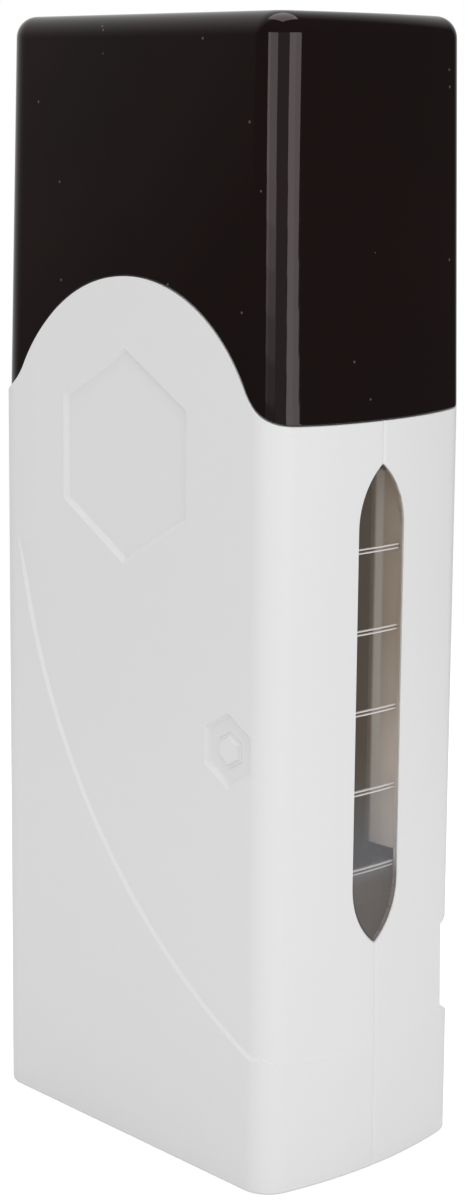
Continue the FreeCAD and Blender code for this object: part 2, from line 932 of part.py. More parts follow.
def clamp_nuts():
    radius = corner_radius_of_hexagon(nut_flats)
    top = clamp_back + nut_height
    turns = [math.radians(60 * k) for k in range(6)]
    nuts = []
    for x, z in stud_spots:
        points = [V(x + radius * math.cos(a), clamp_back, z + radius * math.sin(a)) for a in turns]
        bore = rod(stud_diameter + 2 * nut_gap, V(x, clamp_back - past, z), V(x, top + past, z))
        nuts.append(prism(polygon(points), V(0, nut_height, 0)).cut(bore))
    return Part.makeCompound(nuts)


thermostat_tab_end = thermostat_width / 2 + thermostat_tab_length
fuse_lead_end = clamp_half_width - fuse_lead_inset


def thermostat():
    half = thermostat_width / 2
    rise = thermostat_height / 2
    case = box(-half, half, well_back, well_back + pack_thickness, thermostat_z - rise, thermostat_z + rise)
    tab = box(
        -thermostat_tab_end, thermostat_tab_end,
        pack_middle_y - thermostat_tab_thickness / 2, pack_middle_y + thermostat_tab_thickness / 2,
        thermostat_z - thermostat_tab_width / 2, thermostat_z + thermostat_tab_width / 2,
    )
    return case.fuse(tab)


def thermal_fuse():
    def across(half):
        return V(-half, pack_middle_y, fuse_z), V(half, pack_middle_y, fuse_z)

    return rod(fuse_diameter, *across(fuse_length / 2)).fuse(rod(fuse_lead_diameter, *across(fuse_lead_end)))


# Button and its switch

def power_button():
    front = -face_x(button_z) + button_well_depth - button_proud
    radius = corner_radius_of_hexagon(button_flats)
    key = prism(hexagon(radius, front, button_y, button_z), V(button_inner_x - front, 0, 0))
    rim = [e for e in key.Edges if all(abs(v.X - front) < 1e-6 for v in e.Vertexes)]
    key = key.makeFillet(button_edge_radius, rim)
    flange_face = hexagon(button_flange_radius, button_inner_x, button_y, button_z)
    flange = prism(flange_face, V(button_flange_thickness, 0, 0))
    return key.fuse(flange)


def switch_plunger():
    start = V(button_back_x, button_y, button_z)
    return rod(plunger_diameter, start, start + V(plunger_height, 0, 0))


def switch_body():
    half = switch_size / 2
    body = box(
        switch_front_x, button_board_x, button_y - half, button_y + half, button_z - half, button_z + half
    )
    well = rod(
        plunger_diameter + 2 * button_gap,
        V(switch_front_x - past, button_y, button_z),
        V(switch_front_x + button_travel + button_gap, button_y, button_z),
    )
    return body.cut(well)


def button_board():
    half = button_board_width / 2
    rise = button_board_height / 2
    back = button_board_x + button_board_thickness
    board = box(button_board_x, back, button_y - half, button_y + half, button_z - rise, button_z + rise)
    front = button_board_x - past
    holes = [
        rod(stake_diameter + 2 * stake_gap, V(front, button_y, z), V(back + past, button_y, z))
        for z in stake_spots
    ]
    return board.cut(holes)


# Control board

def control_board():
    board = box(board_back_x, board_x, board_front, board_back, board_low, board_high)
    holes = [
        rod(board_hole_diameter, V(board_back_x - past, y, z), V(board_x + past, y, z))
        for y, z in board_spots
    ]
    return board.cut(holes)


def board_screws():
    screws = []
    for y, z in board_spots:
        shank = rod(board_screw_diameter, V(board_x - board_screw_length, y, z), V(board_x, y, z))
        head = rod(board_head_diameter, V(board_x, y, z), V(board_x + board_head_height, y, z))
        screws.append(head.fuse(shank))
    return Part.makeCompound(screws)


def on_board(size, y, z):
    """Block that stands on the control board."""
    return box(board_x, board_x + size.x, y - size.y / 2, y + size.y / 2, z - size.z / 2, z + size.z / 2)


terminal_face_x = board_x + terminal_depth


def terminal(y, wire_diameter):
    block = on_board(V(terminal_depth, terminal_length, terminal_height), y, terminal_z)
    bottom = terminal_face_x - terminal_hole_depth
    holes = [
        rod(wire_diameter, V(bottom, way, terminal_z), V(terminal_face_x, way, terminal_z))
        for way in terminal_ways(y)
    ]
    return block.cut(holes)


def terminal_ways(y):
    return y - terminal_pitch / 2, y + terminal_pitch / 2


def line_capacitor():
    size = V(line_capacitor_height, line_capacitor_length, line_capacitor_width)
    return on_board(size, board_front + line_capacitor_place, line_capacitor_z)


def button_header():
    return on_board(V(header_height, header_length, header_width), header_y, header_z)


def smoothing_capacitor():
    base = V(board_x, board_front + smoothing_place, smoothing_z)
    can = rod(smoothing_diameter, base, base + V(smoothing_length, 0, 0))
    rim = [e for e in can.Edges if len(e.Vertexes) == 1]
    return can.makeFillet(smoothing_edge_radius, rim)


def triac():
    foot = board_x + triac_leg_length
    head = foot + triac_length
    triac_y = board_front + triac_place
    front = triac_y - triac_width / 2
    back = triac_y + triac_width / 2
    top = triac_z + triac_thickness
    body = box(foot, head, front, back, triac_z, top)
    tab = box(foot, head + triac_tab_length, front, back, triac_z, triac_z + triac_tab_thickness)
    hole_x = head + triac_tab_length / 2
    hole = rod(triac_hole_diameter, V(hole_x, triac_y, triac_z - past), V(hole_x, triac_y, top))
    legs = []
    half = triac_leg_width / 2
    middle = triac_z + triac_thickness / 2
    for k in (-1, 0, 1):
        y = triac_y + k * triac_leg_pitch
        legs.append(box(board_x, foot, y - half, y + half, middle - half, middle + half))
    return body.fuse([tab] + legs).cut(hole)


# Power inlet

def inlet_socket():
    """Figure-eight hollow for the plug."""
    back = inlet_face_y - inlet_socket_depth
    front = inlet_face_y + past
    half = inlet_pin_pitch / 2
    hollow = box(-half, half, back, front, inlet_z - inlet_waist_height / 2, inlet_z + inlet_waist_height / 2)
    for x in (-half, half):
        hollow = hollow.fuse(rod(2 * inlet_socket_radius, V(x, back, inlet_z), V(x, front, inlet_z)))
    return hollow


def inlet_pin(x):
    socket_back = inlet_face_y - inlet_socket_depth
    tip = socket_back + inlet_pin_length
    pin = rod(inlet_pin_diameter, V(x, inlet_rear_y, inlet_z), V(x, tip, inlet_z))
    blade = box(
        x - inlet_blade_thickness / 2, x + inlet_blade_thickness / 2, inlet_rear_y - inlet_blade_length,
        inlet_rear_y, inlet_z - inlet_blade_width / 2, inlet_z + inlet_blade_width / 2,
    )
    return pin.fuse(blade)


inlet_pin_places = (-inlet_pin_pitch / 2, inlet_pin_pitch / 2)


def power_inlet():
    nose_outline = stadium(inlet_width, inlet_height, inlet_flange_y, inlet_z)
    nose = prism(nose_outline, V(0, inlet_face_y - inlet_flange_y, 0))
    flange_outline = stadium(inlet_flange_width, inlet_flange_height, inlet_flange_y, inlet_z)
    flange = prism(flange_outline, V(0, -inlet_flange_thickness, 0))
    half = inlet_body_width / 2
    rise = inlet_body_height / 2
    body = box(-half, half, inlet_rear_y, inlet_flange_y, inlet_z - rise, inlet_z + rise)
    bores = [
        rod(inlet_pin_diameter, V(x, inlet_rear_y - past, inlet_z), V(x, inlet_face_y, inlet_z))
        for x in inlet_pin_places
    ]
    return body.fuse([flange, nose]).cut([inlet_socket()] + bores)


def inlet_pins():
    return Part.makeCompound([inlet_pin(x) for x in inlet_pin_places])


# Inner wiring, which runs in a lane beside the clamp, behind the well and under the cradle

lane_x = clamp_half_width + lead_side_gap
lane_y = well_back + lead_rear_gap
lane_z = foot_bottom - lead_under_gap


def live_lead():
    start = V(inlet_pin_pitch / 2, inlet_rear_y - inlet_blade_length, inlet_z)
    way = terminal_ways(mains_terminal_y)[1]
    end = V(terminal_face_x, way, terminal_z)
    points = [start, start + V(0, -5, 0), V(end.x + 9, start.y - 8, inlet_z + 9), end + V(6.5, 0, 0), end]
    return lead(points, mains_lead_diameter)


def neutral_lead():
    start = V(-inlet_pin_pitch / 2, inlet_rear_y - inlet_blade_length, inlet_z)
    way = terminal_ways(mains_terminal_y)[0]
    end = V(terminal_face_x, way, terminal_z)
    points = [start, start + V(0, -5, 0), V(end.x + 4, start.y - 7, inlet_z + 5), end + V(5, 4, -5),
              end + V(5.5, 0, 0), end]
    return lead(points, mains_lead_diameter)


def heater_live_lead():
    way = terminal_ways(heater_terminal_y)[1]
    start = V(terminal_face_x, way, terminal_z)
    end = V(thermostat_tab_end, pack_middle_y, thermostat_z)
    points = [
        start, start + V(7, 0, 0), V(lane_x - 8.4, way + 9.5, lane_z - 5.2),
        V(lane_x - 3.4, lane_y - 15.2, lane_z - 2.7), V(lane_x, lane_y, lane_z),
        V(lane_x + 1, lane_y + 1, lane_z + 11.8), V(lane_x + 0.6, pack_middle_y, thermostat_z), end,
    ]
    return lead(points, heater_lead_diameter)


def heater_neutral_lead():
    way = terminal_ways(heater_terminal_y)[0]
    start = V(terminal_face_x, way, terminal_z)
    y = rear_electrode_y + electrode_thickness / 2
    z = stone_low + electrode_tab_rise + electrode_tab_width / 2
    end = V(-stone_width / 2 - electrode_tab_length, y, z)
    points = [
        start, start + V(6, 0, 0), V(start.x + 4, way + 9.5, lane_z - 4.7),
        V(8.4 - lane_x, lane_y - 18.2, lane_z - 2.7), V(-lane_x, lane_y, lane_z),
        V(-lane_x - 1.6, lane_y + 1, lane_z + 12.8), V(-lane_x - 1.9, lane_y + 0.4, fuse_z - 3),
        V(-lane_x - 2.4, y, z), end,
    ]
    return lead(points, heater_lead_diameter)


def fuse_link():
    start = V(-thermostat_tab_end, pack_middle_y, thermostat_z)
    end = V(-fuse_lead_end, pack_middle_y, fuse_z)
    loop_x = -thermostat_tab_end - fuse_link_reach
    points = [start, V(loop_x, pack_middle_y, thermostat_z), V(loop_x, pack_middle_y, fuse_z), end]
    return lead(points, heater_lead_diameter)


def heater_link():
    start = V(fuse_lead_end, pack_middle_y, fuse_z)
    y = front_electrode_y + electrode_thickness / 2
    z = stone_low + electrode_tab_rise + electrode_tab_width / 2
    end = V(stone_width / 2 + electrode_tab_length, y, z)
    points = [start, V(lane_x + 0.2, pack_middle_y, fuse_z), V(lane_x + 2.4, pack_middle_y, fuse_z + 6),
              V(lane_x + 2.5, y, z), end]
    return lead(points, heater_lead_diameter)


def button_leads():
    leads = []
    for k in (-0.5, 0.5):
        shift = k * header_pitch
        start = V(board_x + header_height, header_y + shift, header_z)
        y = button_y - header_pitch + shift
        z = button_z - button_board_height / 2 + header_pitch / 2
        end = V(button_board_x + button_board_thickness, y, z)
        points = [
            start, start + V(3.4, 0, 0), start + V(3.6, -7.5, 2),
            V(end.x + 10.5, shift - well_back - 5, lane_z + 0.8),
            V(end.x + 6.5, shift - well_back - 6, lane_z + 12.8),
            V(end.x + 4.1, shift - well_back - 3, z - 5.7), V(end.x + 3.7, y, z), end,
        ]
        leads.append(lead(points, button_lead_diameter))
    return Part.makeCompound(leads)


def pieces():
    """Every piece of the warmer under its name."""
    return {
        "left_shell": left_shell(),
        "right_shell": right_shell(),
        "case_screws": case_screws(),
        "cap": cap(),
        "window_lens": window_lens(),
        "well_collar": well_collar(),
        "heating_well": heating_well(),
        "well_foot": well_foot(),
        "ptc_stones": ptc_stones(),
        "electrode_front": electrode(front_electrode_y, 1),
        "electrode_rear": electrode(rear_electrode_y, -1),
        "heater_wrap": heater_wrap(),
        "clamp_plate": clamp_plate(),
        "clamp_nuts": clamp_nuts(),
        "thermostat": thermostat(),
        "thermal_fuse": thermal_fuse(),
        "power_button": power_button(),
        "switch_plunger": switch_plunger(),
        "switch_body": switch_body(),
        "button_board": button_board(),
        "control_board": control_board(),
        "board_screws": board_screws(),
        "mains_terminal": terminal(mains_terminal_y, mains_lead_diameter),
        "heater_terminal": terminal(heater_terminal_y, heater_lead_diameter),
        "line_capacitor": line_capacitor(),
        "smoothing_capacitor": smoothing_capacitor(),
        "triac": triac(),
        "button_header": button_header(),
        "power_inlet": power_inlet(),
        "inlet_pins": inlet_pins(),
        "live_lead": live_lead(),
        "neutral_lead": neutral_lead(),
        "heater_live_lead": heater_live_lead(),
        "heater_neutral_lead": heater_neutral_lead(),
        "fuse_link": fuse_link(),
        "heater_link": heater_link(),
        "button_leads": button_leads(),
    }


os.makedirs("parts", exist_ok=True)
for name, shape in pieces().items():
    shape.exportStep("parts/" + name + ".step")
    bounds = shape.BoundBox
    print(f"{name}: {len(shape.Solids)} solids, {shape.Volume:.0f} mm3, "
          f"{bounds.XLength:.2f} x {bounds.YLength:.2f} x {bounds.ZLength:.2f}, valid {shape.isValid()}")
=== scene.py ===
"""Roll-on wax warmer: white housing with a window, dark cap, and the parts inside, on a studio floor."""

import contextlib
import json
import math

import bpy
from mathutils import Matrix, Vector


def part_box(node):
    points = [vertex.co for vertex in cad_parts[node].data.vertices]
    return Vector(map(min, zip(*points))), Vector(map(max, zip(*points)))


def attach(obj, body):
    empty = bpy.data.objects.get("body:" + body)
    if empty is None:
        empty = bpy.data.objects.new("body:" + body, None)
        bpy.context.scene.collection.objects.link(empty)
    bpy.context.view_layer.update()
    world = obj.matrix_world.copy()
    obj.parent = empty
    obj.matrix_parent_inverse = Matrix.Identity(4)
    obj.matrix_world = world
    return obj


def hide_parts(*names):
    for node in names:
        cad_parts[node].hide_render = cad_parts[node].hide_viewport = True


bl_info = {
    "name": "Wax warmer",
    "version": (1, 0, 0),
    "blender": (4, 5, 0),
    "location": "View3D > Sidebar > Warmer",
    "description": "Models and dresses a roll-on wax warmer on a studio floor",
    "category": "Object",
}

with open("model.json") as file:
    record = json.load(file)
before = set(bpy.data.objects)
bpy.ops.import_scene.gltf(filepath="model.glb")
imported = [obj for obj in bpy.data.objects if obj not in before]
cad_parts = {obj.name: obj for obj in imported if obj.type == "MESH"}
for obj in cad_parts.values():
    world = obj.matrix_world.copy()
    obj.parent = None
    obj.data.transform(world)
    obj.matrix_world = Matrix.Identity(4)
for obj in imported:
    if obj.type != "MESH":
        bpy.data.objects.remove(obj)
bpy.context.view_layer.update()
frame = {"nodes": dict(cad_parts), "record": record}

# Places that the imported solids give
HOUSING_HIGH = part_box("right_shell")[1]
CAP_LOW, CAP_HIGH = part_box("cap")
KEY_LOW, KEY_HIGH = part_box("power_button")
INLET_LOW, INLET_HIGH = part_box("power_inlet")
SCREWS_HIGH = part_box("case_screws")[1]
RECORD_COLOURS = {row["slot"]: row["base_color"] for row in frame["record"]["materials"]}
NODE_SLOTS = {row["node"]: row["material_slot"] for row in frame["record"]["subparts"]}

# How finely the curves are divided
BOW_STEPS = 12
CORNER_STEPS = 12
SIDE_STEPS = 44
QUARTER_STEPS = BOW_STEPS + CORNER_STEPS + SIDE_STEPS
OUTLINE_STEPS = 4 * QUARTER_STEPS
EDGE_STEPS = 12
INNER_EDGE_STEPS = 4
SWEEP_STEPS = 256
ROD_STEPS = 32
POINT_STEPS = 14
END_STEPS = 6
FLOOR_STEPS = 96
LIGHT_SLICES = 7

# Rounds in which a point of the seam settles on the leaning wall
SEAM_ROUNDS = 3

# Largest angle between faces that are shaded as one: on the shells, and on the other pieces
SHELL_SMOOTH_ANGLE = math.radians(12)
SMOOTH_ANGLE = math.radians(24)

# Where the middle ring of a rounded bevel lies, as a share of the bevel
BEVEL_MIDDLE = 0.3

# How much further than the step the surface behind it moves out, so that the two never coincide
OVERLAP = 1.15

# How far a cutter runs past the face that it cuts
PAST = 0.001

# How near points are merged, in a new body and after a cut
SAME = 0.000001
CLOSE = 0.00001

# Tone changes per metre of plastic and of metal, and how much finer than them the uneven gloss of plastic is
PLASTIC_TONE = 20
METAL_TONE = 60
GLOSS_PER_TONE = 6


def length(name, description, default):
    return bpy.props.FloatProperty(
        name=name, description=description, default=default, unit="LENGTH", precision=5)


def angle(name, description, degrees):
    default = math.radians(degrees)
    return bpy.props.FloatProperty(name=name, description=description, default=default, subtype="ANGLE")


def amount(name, description, default):
    return bpy.props.FloatProperty(name=name, description=description, default=default)


def colour(name, description, default):
    return bpy.props.FloatVectorProperty(
        name=name, description=description, default=default, subtype="COLOR", size=3)


class WarmerShape(bpy.types.PropertyGroup):
    """Sizes of the housing, the cap, the window and the button."""

    housing_draft: angle("Housing draft", "Lean of the housing walls", 0.143)
    corner_radius: length("Corner radius", "Radius of the upright corners", 0.0059)
    bow_radius: length("Bow radius", "Radius of the bowed narrow faces", 0.0935)
    wall: length("Wall", "Thickness of the housing walls", 0.002)
    floor: length("Floor", "Thickness of the housing floor", 0.0022)
    seam_gap: length("Seam gap", "Gap between the housing and the cap", 0.00025)
    groove_half: length("Groove half width", "Half the width of the groove at the parting line", 0.0005)
    groove_depth: length("Groove depth", "Depth of the groove at the parting line", 0.00019)
    rim_bevel: length("Rim bevel", "Broken edge of the housing rim", 0.00012)
    base_bevel: length("Base bevel", "Broken edge of the base", 0.0004)
    edge_bevel: length("Edge bevel", "Roundness of the small moulded edges", 0.00018)

    cap_draft: angle("Cap draft", "Lean of the cap walls", 1.12)
    cap_wall: length("Cap wall", "Thickness of the cap walls", 0.002)
    cap_roof: length("Cap roof", "Thickness of the cap's top", 0.0022)
    cap_edge: length("Cap edge", "Radius of the cap's upper edge", 0.0038)
    cap_inner_edge: length("Cap inner edge", "Radius of the cap's inner upper edge", 0.0012)

    arch_rise: length("Arch rise", "Height of the arched seam on the wide faces", 0.0239)
    arch_radius: length("Arch radius", "Radius of the arched seam", 0.035)
    arch_blend: length("Arch blend", "Radius at the foot of the arch", 0.012)

    sweep_front: length("Sweep front", "Distance of the sweep's centre from the front", 0.0414)
    sweep_drop: length("Sweep drop", "Distance of the sweep's centre under the seam", 0.0083)
    sweep_radius: length("Sweep radius", "Radius of the swept step", 0.1169)
    step_depth: length("Step depth", "Depth of the swept step", 0.00042)
    step_ramp: length("Step ramp", "Width of the slope at the step", 0.0007)
    step_fade: length("Step fade", "Height over which the step grows on the front face", 0.02)
    step_end_y: length("Step end place", "Place on the wide faces behind which the step ends high up", 0.03)
    step_end_z: length("Step end height", "Height over which the step ends beside the back", 0.116)
    step_end_run: length("Step end run", "Length over which the step ends", 0.012)

    hexagon_radius: length("Hexagon radius", "Radius of the large hexagon", 0.0199)
    hexagon_y: length("Hexagon place", "Place of the large hexagon along the wide face", 0.0016)
    hexagon_drop: length("Hexagon drop", "Distance of the hexagon under the arch", 0.0326)
    hexagon_depth: length("Hexagon depth", "Depth of the large hexagon", 0.0007)
    hexagon_ramp: length("Hexagon ramp", "Width of the slope round the hexagon", 0.001)

    window_half: length("Window half width", "Half the width of the window", 0.00575)
    window_point: length("Window point radius", "Radius of the window's pointed ends", 0.0144)
    window_low: length("Window foot", "Height of the window's lower point", 0.0438)
    window_margin: length("Window margin", "Distance of the upper point under the seam", 0.0076)
    window_bevel: length("Window bevel", "Broken edge of the window opening", 0.0004)
    lens_gap: length("Lens gap", "Gap round the lens", 0.00012)
    lens_setback: length("Lens setback", "Distance of the lens behind the housing face", 0.0001)
    lens_flange: length("Lens flange", "Reach of the lens behind the wall", 0.0005)
    lens_rebate: length("Lens rebate", "Depth of the flange's seat behind the housing face", 0.0009)
    lens_flange_thickness: length("Lens flange thickness", "Thickness of the lens's flange", 0.0011)
    haze_fade: length("Haze fade", "Height over which the lens's haze fades out", 0.022)
    foot_fade: length("Foot fade", "Height over which the brown at the lens's foot sets in", 0.005)
    mark_count: bpy.props.IntProperty(name="Marks", description="Number of level marks", default=5)
    mark_foot_room: length("Mark foot room", "Height of the lowest mark over the window's foot", 0.01375)
    mark_top_room: length("Mark top room", "Distance of the highest mark under the window's top", 0.0156)
    mark_width: length("Mark width", "Width of a level mark", 0.0009)
    mark_height: length("Mark height", "Depth of a level mark", 0.00035)
    mark_half: length("Mark half length", "Half the length of a level mark", 0.0059)

    rib_gap: length("Rib gap", "Gap between the lens and the ribs beside it", 0.0001)
    rib_thickness: length("Rib thickness", "Thickness of the ribs beside the window", 0.0012)
    rib_depth: length("Rib depth", "Reach of the ribs beside the window", 0.0076)
    rib_rise: length("Rib rise", "Start of the ribs over the window's foot", 0.0162)
    rib_drop: length("Rib drop", "End of the ribs under the window's top", 0.0025)
    # Where the painted light stripe, the painted shade at the deep end and the painted light at the foot of
    # the ribs lie
    rib_stripe: length("Rib stripe", "Depth at which the light stripe on the ribs starts", 0.0042)
    rib_dark: length("Rib dark end", "Depth at which the ribs turn dark", 0.0062)
    rib_soft: length("Rib soft edge", "Width over which the ribs change their tone", 0.0009)
    rib_pale_high: length("Rib pale end", "Height over the ribs' foot at which the pale part ends", 0.045)
    rib_pale_low: length("Rib pale part", "Height over the ribs' foot up to which they are palest", 0.008)

    notch_low: length("Notch foot", "Lower end of the grip notch", 0.023)
    notch_high: length("Notch top", "Upper end of the grip notch", 0.0436)
    notch_depth: length("Notch depth", "Depth of the grip notch", 0.0047)
    notch_length: length("Notch length", "Reach of the grip notch from the front", 0.0214)
    notch_wall: length("Notch wall", "Thickness of the wall behind the grip notch", 0.0012)
    notch_low_ramp: length("Notch lower slope", "Width of the notch's lower slope", 0.0032)
    notch_high_ramp: length("Notch upper slope", "Width of the notch's upper slope", 0.0014)

    screw_head: length("Screw head", "Diameter of the case screws' heads", 0.005)
    screw_recess: length("Screw recess", "Diameter of the recesses for the screw heads", 0.0056)
    screw_recess_depth: length("Screw recess depth", "Depth of the recesses for the screw heads", 0.003)
    screw_boss: length("Screw boss", "Diameter of the bosses for the case screws", 0.006)
    screw_front_z: length("Front screw", "Height of the lower front screw", 0.0155)
    screw_back_z: length("Back screw", "Height of the lower back screw", 0.038)
    inlet_width: length("Inlet width", "Width of the power inlet's nose", 0.020)
    inlet_height: length("Inlet height", "Height of the power inlet's nose", 0.012)
    inlet_gap: length("Inlet gap", "Gap round the power inlet", 0.0002)

    button_well_flats: length("Button well", "Width of the button well across its flats", 0.0121)
    button_well_depth: length("Button well depth", "Depth of the button well", 0.0008)
    button_well_ramp: length("Button well ramp", "Width of the slope round the button well", 0.001)
    button_flats: length("Button", "Width of the key across its flats", 0.0058)
    button_gap: length("Button gap", "Gap round the key", 0.00003)
    button_shift: length("Button shift", "Distance of the key behind the middle of its solid", 0.0005)
    button_top_flats: length("Button top", "Width of the key's raised middle across its flats", 0.0042)
    button_slope: length("Button slope", "Width of the slope round the key's raised middle", 0.0004)
    button_lip: length("Button lip", "Height of the key's rim over the floor of its well", 0.00008)
    button_flange: length("Button flange", "Thickness of the key's flange", 0.001)


class WarmerFinish(bpy.types.PropertyGroup):
    """Colours of the outer pieces."""

    shell_white: colour("Shell", "White of the housing", (0.752, 0.752, 0.752))
    shell_shade: colour("Shell shade", "White of the housing where it is duller", (0.734, 0.734, 0.736))
    cap_brown: colour("Cap", "Dark brown of the cap", (0.0055, 0.0050, 0.0051))
    cap_glow: colour("Cap glow", "Reddish brown inside the cap's plastic", (0.0140, 0.0066, 0.0062))
    cap_gloss: colour("Cap gloss", "Warm tint of the cap's mirrored light", (1.0, 0.89, 0.89))
    cap_dust: colour("Cap dust", "Tone of the dust on the cap", (0.085, 0.075, 0.07))
    lens_smoke: colour("Lens", "Warm tint of the lens", (0.50, 0.41, 0.33))
    lens_dust: colour("Lens dust", "Tone of the dust on the lens", (0.6, 0.57, 0.52))
    lens_cloud: amount("Lens cloud", "Share of the light that the lens's tint takes up", 0.10)
    haze_grey: colour("Lens haze", "Grey of the haze low in the lens", (0.40, 0.40, 0.42))
    haze_cloud: amount("Haze cloud", "Share of the light that the haze takes up", 0.16)
    foot_brown: colour("Lens foot", "Brown at the foot of the lens", (0.175, 0.155, 0.145))
    foot_cloud: amount("Foot cloud", "Share of the light that the brown at the foot takes up", 0.5)
    # White of the level marks, which paints the glints on the edges of each clear mark
    mark_painted_glint: colour("Marks", "White of the level marks", (0.80, 0.77, 0.76))
    # Colours of the ribs and of the walls of the window's opening, all painted light and shade: a dim beige
    # that paints their shade behind the tinted lens, a painted light stripe, a painted light at their foot
    # and painted shade deep behind the window
    rib_shaded_beige: colour("Window ribs", "Warm tone of the ribs beside the window", (0.62, 0.52, 0.42))
    rib_painted_light: colour("Light on the ribs", "Tone of the ribs where light falls on them", (0.97, 0.93, 0.88))
    rib_painted_foot_light: colour("Foot of the window ribs", "Paler tone of the ribs at their foot", (0.97, 0.88, 0.81))
    rib_painted_shade: colour("Deep ribs", "Warm tone of the ribs deep behind the window", (0.19, 0.155, 0.125))
    foot_grey: colour("Well foot", "Grey of the cradle under the heating well", (0.62, 0.61, 0.61))
    # Dark brown on the heating well's metal, which paints the shade deep inside the housing
    well_shaded_brown: colour("Heating well", "Brown of the heating well's oxide layer", (0.35, 0.30, 0.26))


class WarmerStage(bpy.types.PropertyGroup):
    """Camera, light and floor."""

    azimuth: angle("Azimuth", "Camera direction round the part, from its front", 317.284)
    elevation: angle("Elevation", "Camera direction over the floor", 11.607)
    roll: angle("Roll", "Turn of the camera about its own axis", 0.465)
    distance: length("Distance", "Distance from the camera to its target", 0.468)
    target: bpy.props.FloatVectorProperty(
        name="Target", description="Point that the camera looks at", default=(0.00027, -0.00125, 0.10173),
        subtype="TRANSLATION", unit="LENGTH", size=3)
    lens: amount("Lens", "Focal length in millimetres", 73.66)
    sensor: amount("Sensor", "Width of the camera's sensor in millimetres", 36)
    floor_radius: length("Floor", "Radius of the floor", 0.55)
    floor_fade_start: amount("Floor fade start", "Share of the radius at which the floor starts to fade", 0.4)
    floor_fade_end: amount("Floor fade end", "Share of the radius at which the floor is gone", 0.95)
    floor_white: colour("Floor", "White of the floor", (0.74, 0.74, 0.74))
    floor_glow: amount("Floor glow", "Light that the camera sees from the white floor", 0.5)
    backdrop: amount("Backdrop", "Brightness behind the part", 1.0)
    backdrop_turn: angle("Backdrop turn", "Turn of the backdrop's middle to the left", 20)
    backdrop_tilt: angle("Backdrop tilt", "Height of the backdrop's middle over the floor", 30)
    ambient: amount("Ambient", "Brightness of the light from all round", 0.735)
    light_aim: amount("Light aim", "Share of the way to the near corner at which the upright lights aim", 0.9)
    light_distance: length("Light distance", "Distance of the upright lights from the near corner", 0.6)
    light_mirror_top: length("Mirrored top", "Height over which the upright lights aren't mirrored", 0.30)
    light_knee: length("Light knee", "Height under which the upright lights lean", 0.21)
    light_lean: amount("Light lean", "Degrees that the upright lights turn to the front per metre down", 75)
    light_edge_lean: amount("Edge lean", "The same for the outer side of the last upright light", 20)
    overhead_height: length("Overhead height", "Height of the light over the part", 1.1)
    overhead_width: length("Overhead width", "Width of the light over the part", 0.8)
    overhead_brightness: amount("Overhead", "Brightness of the light over the part", 1.9)
    gloss_surround: amount("Gloss surround", "Brightness of the room that glossy faces mirror", 0.03)
    gloss_start: amount("Gloss start", "Nearness to the backdrop's middle at which it gets lighter", 0.34)
    gloss_end: amount("Gloss end", "Nearness to the backdrop's middle at which it would be white", 1.1)


def shape():
    return bpy.context.scene.warmer_shape


def finish():
    return bpy.context.scene.warmer_finish


def stage():
    return bpy.context.scene.warmer_stage


# Curves that the pieces share

def seam_height():
    return CAP_LOW.z - shape().seam_gap


def housing_plan(z):
    """Half width and half depth of the housing at a height."""
    shrink = z * math.tan(shape().housing_draft)
    return HOUSING_HIGH.x - shrink, HOUSING_HIGH.y - shrink


def cap_plan(z):
    """Half width and half depth of the cap at a height."""
    half, apex = housing_plan(seam_height())
    shrink = (z - seam_height()) * math.tan(shape().cap_draft) + shape().step_depth
    return half - shrink, apex - shrink


def quarter_point(plan, z, inset, place):
    """Point on a quarter of the plan outline: half a bowed side, a round corner, half a straight side."""
    sizes = shape()
    half, apex = plan(z)
    centre_x = half - sizes.corner_radius
    bow_centre = apex - sizes.bow_radius
    centre_y = bow_centre + math.sqrt((sizes.bow_radius - sizes.corner_radius) ** 2 - centre_x ** 2)
    lean = math.atan2(centre_x, centre_y - bow_centre)
    if place <= BOW_STEPS:
        turn = lean * place / BOW_STEPS
        reach = sizes.bow_radius - inset
        return reach * math.sin(turn), bow_centre + reach * math.cos(turn)
    place -= BOW_STEPS
    if place <= CORNER_STEPS:
        turn = lean + (math.pi / 2 - lean) * place / CORNER_STEPS
        reach = sizes.corner_radius - inset
        return centre_x + reach * math.sin(turn), centre_y + reach * math.cos(turn)
    place -= CORNER_STEPS
    return half - inset, centre_y * (1 - place / SIDE_STEPS)


def outline_point(plan, z, inset, step):
    """Point of the plan outline, counted round from the middle of the front."""
    turn, place = divmod(step, QUARTER_STEPS)
    if turn % 2:
        place = QUARTER_STEPS - place
    x, y = quarter_point(plan, z, inset, place)
    return (x if turn < 2 else -x), (y if turn in (1, 2) else -y)


def level_ring(plan, z, inset):
    """Ring of points round the plan outline at one height."""
    return [Vector((*outline_point(plan, z, inset, step), z)) for step in range(OUTLINE_STEPS)]


def arch_z(y, lift):
    """Height of the arched seam at a place along the wide face."""
    sizes = shape()
    level = seam_height() + lift
    radius = sizes.arch_radius + lift
    blend = sizes.arch_blend - lift
    centre_z = seam_height() + sizes.arch_rise - sizes.arch_radius
    blend_z = level + blend
    blend_y = math.sqrt((radius + blend) ** 2 - (blend_z - centre_z) ** 2)
    touch_y = radius * math.sin(math.atan2(blend_y, blend_z - centre_z))
    y = abs(y)
    if y <= touch_y:
        return centre_z + math.sqrt(radius ** 2 - y ** 2)
    if y < blend_y:
        return blend_z - math.sqrt(blend ** 2 - (blend_y - y) ** 2)
    return level


def seam_ring(plan, inset, lift, offset):
    """Ring of points along the arched seam, moved up or down by an offset."""
    ring = []
    for step in range(OUTLINE_STEPS):
        z = seam_height()
        for _ in range(SEAM_ROUNDS):
            x, y = outline_point(plan, z, inset, step)
            z = arch_z(y, lift) + offset
        ring.append(Vector((x, y, z)))
    return ring


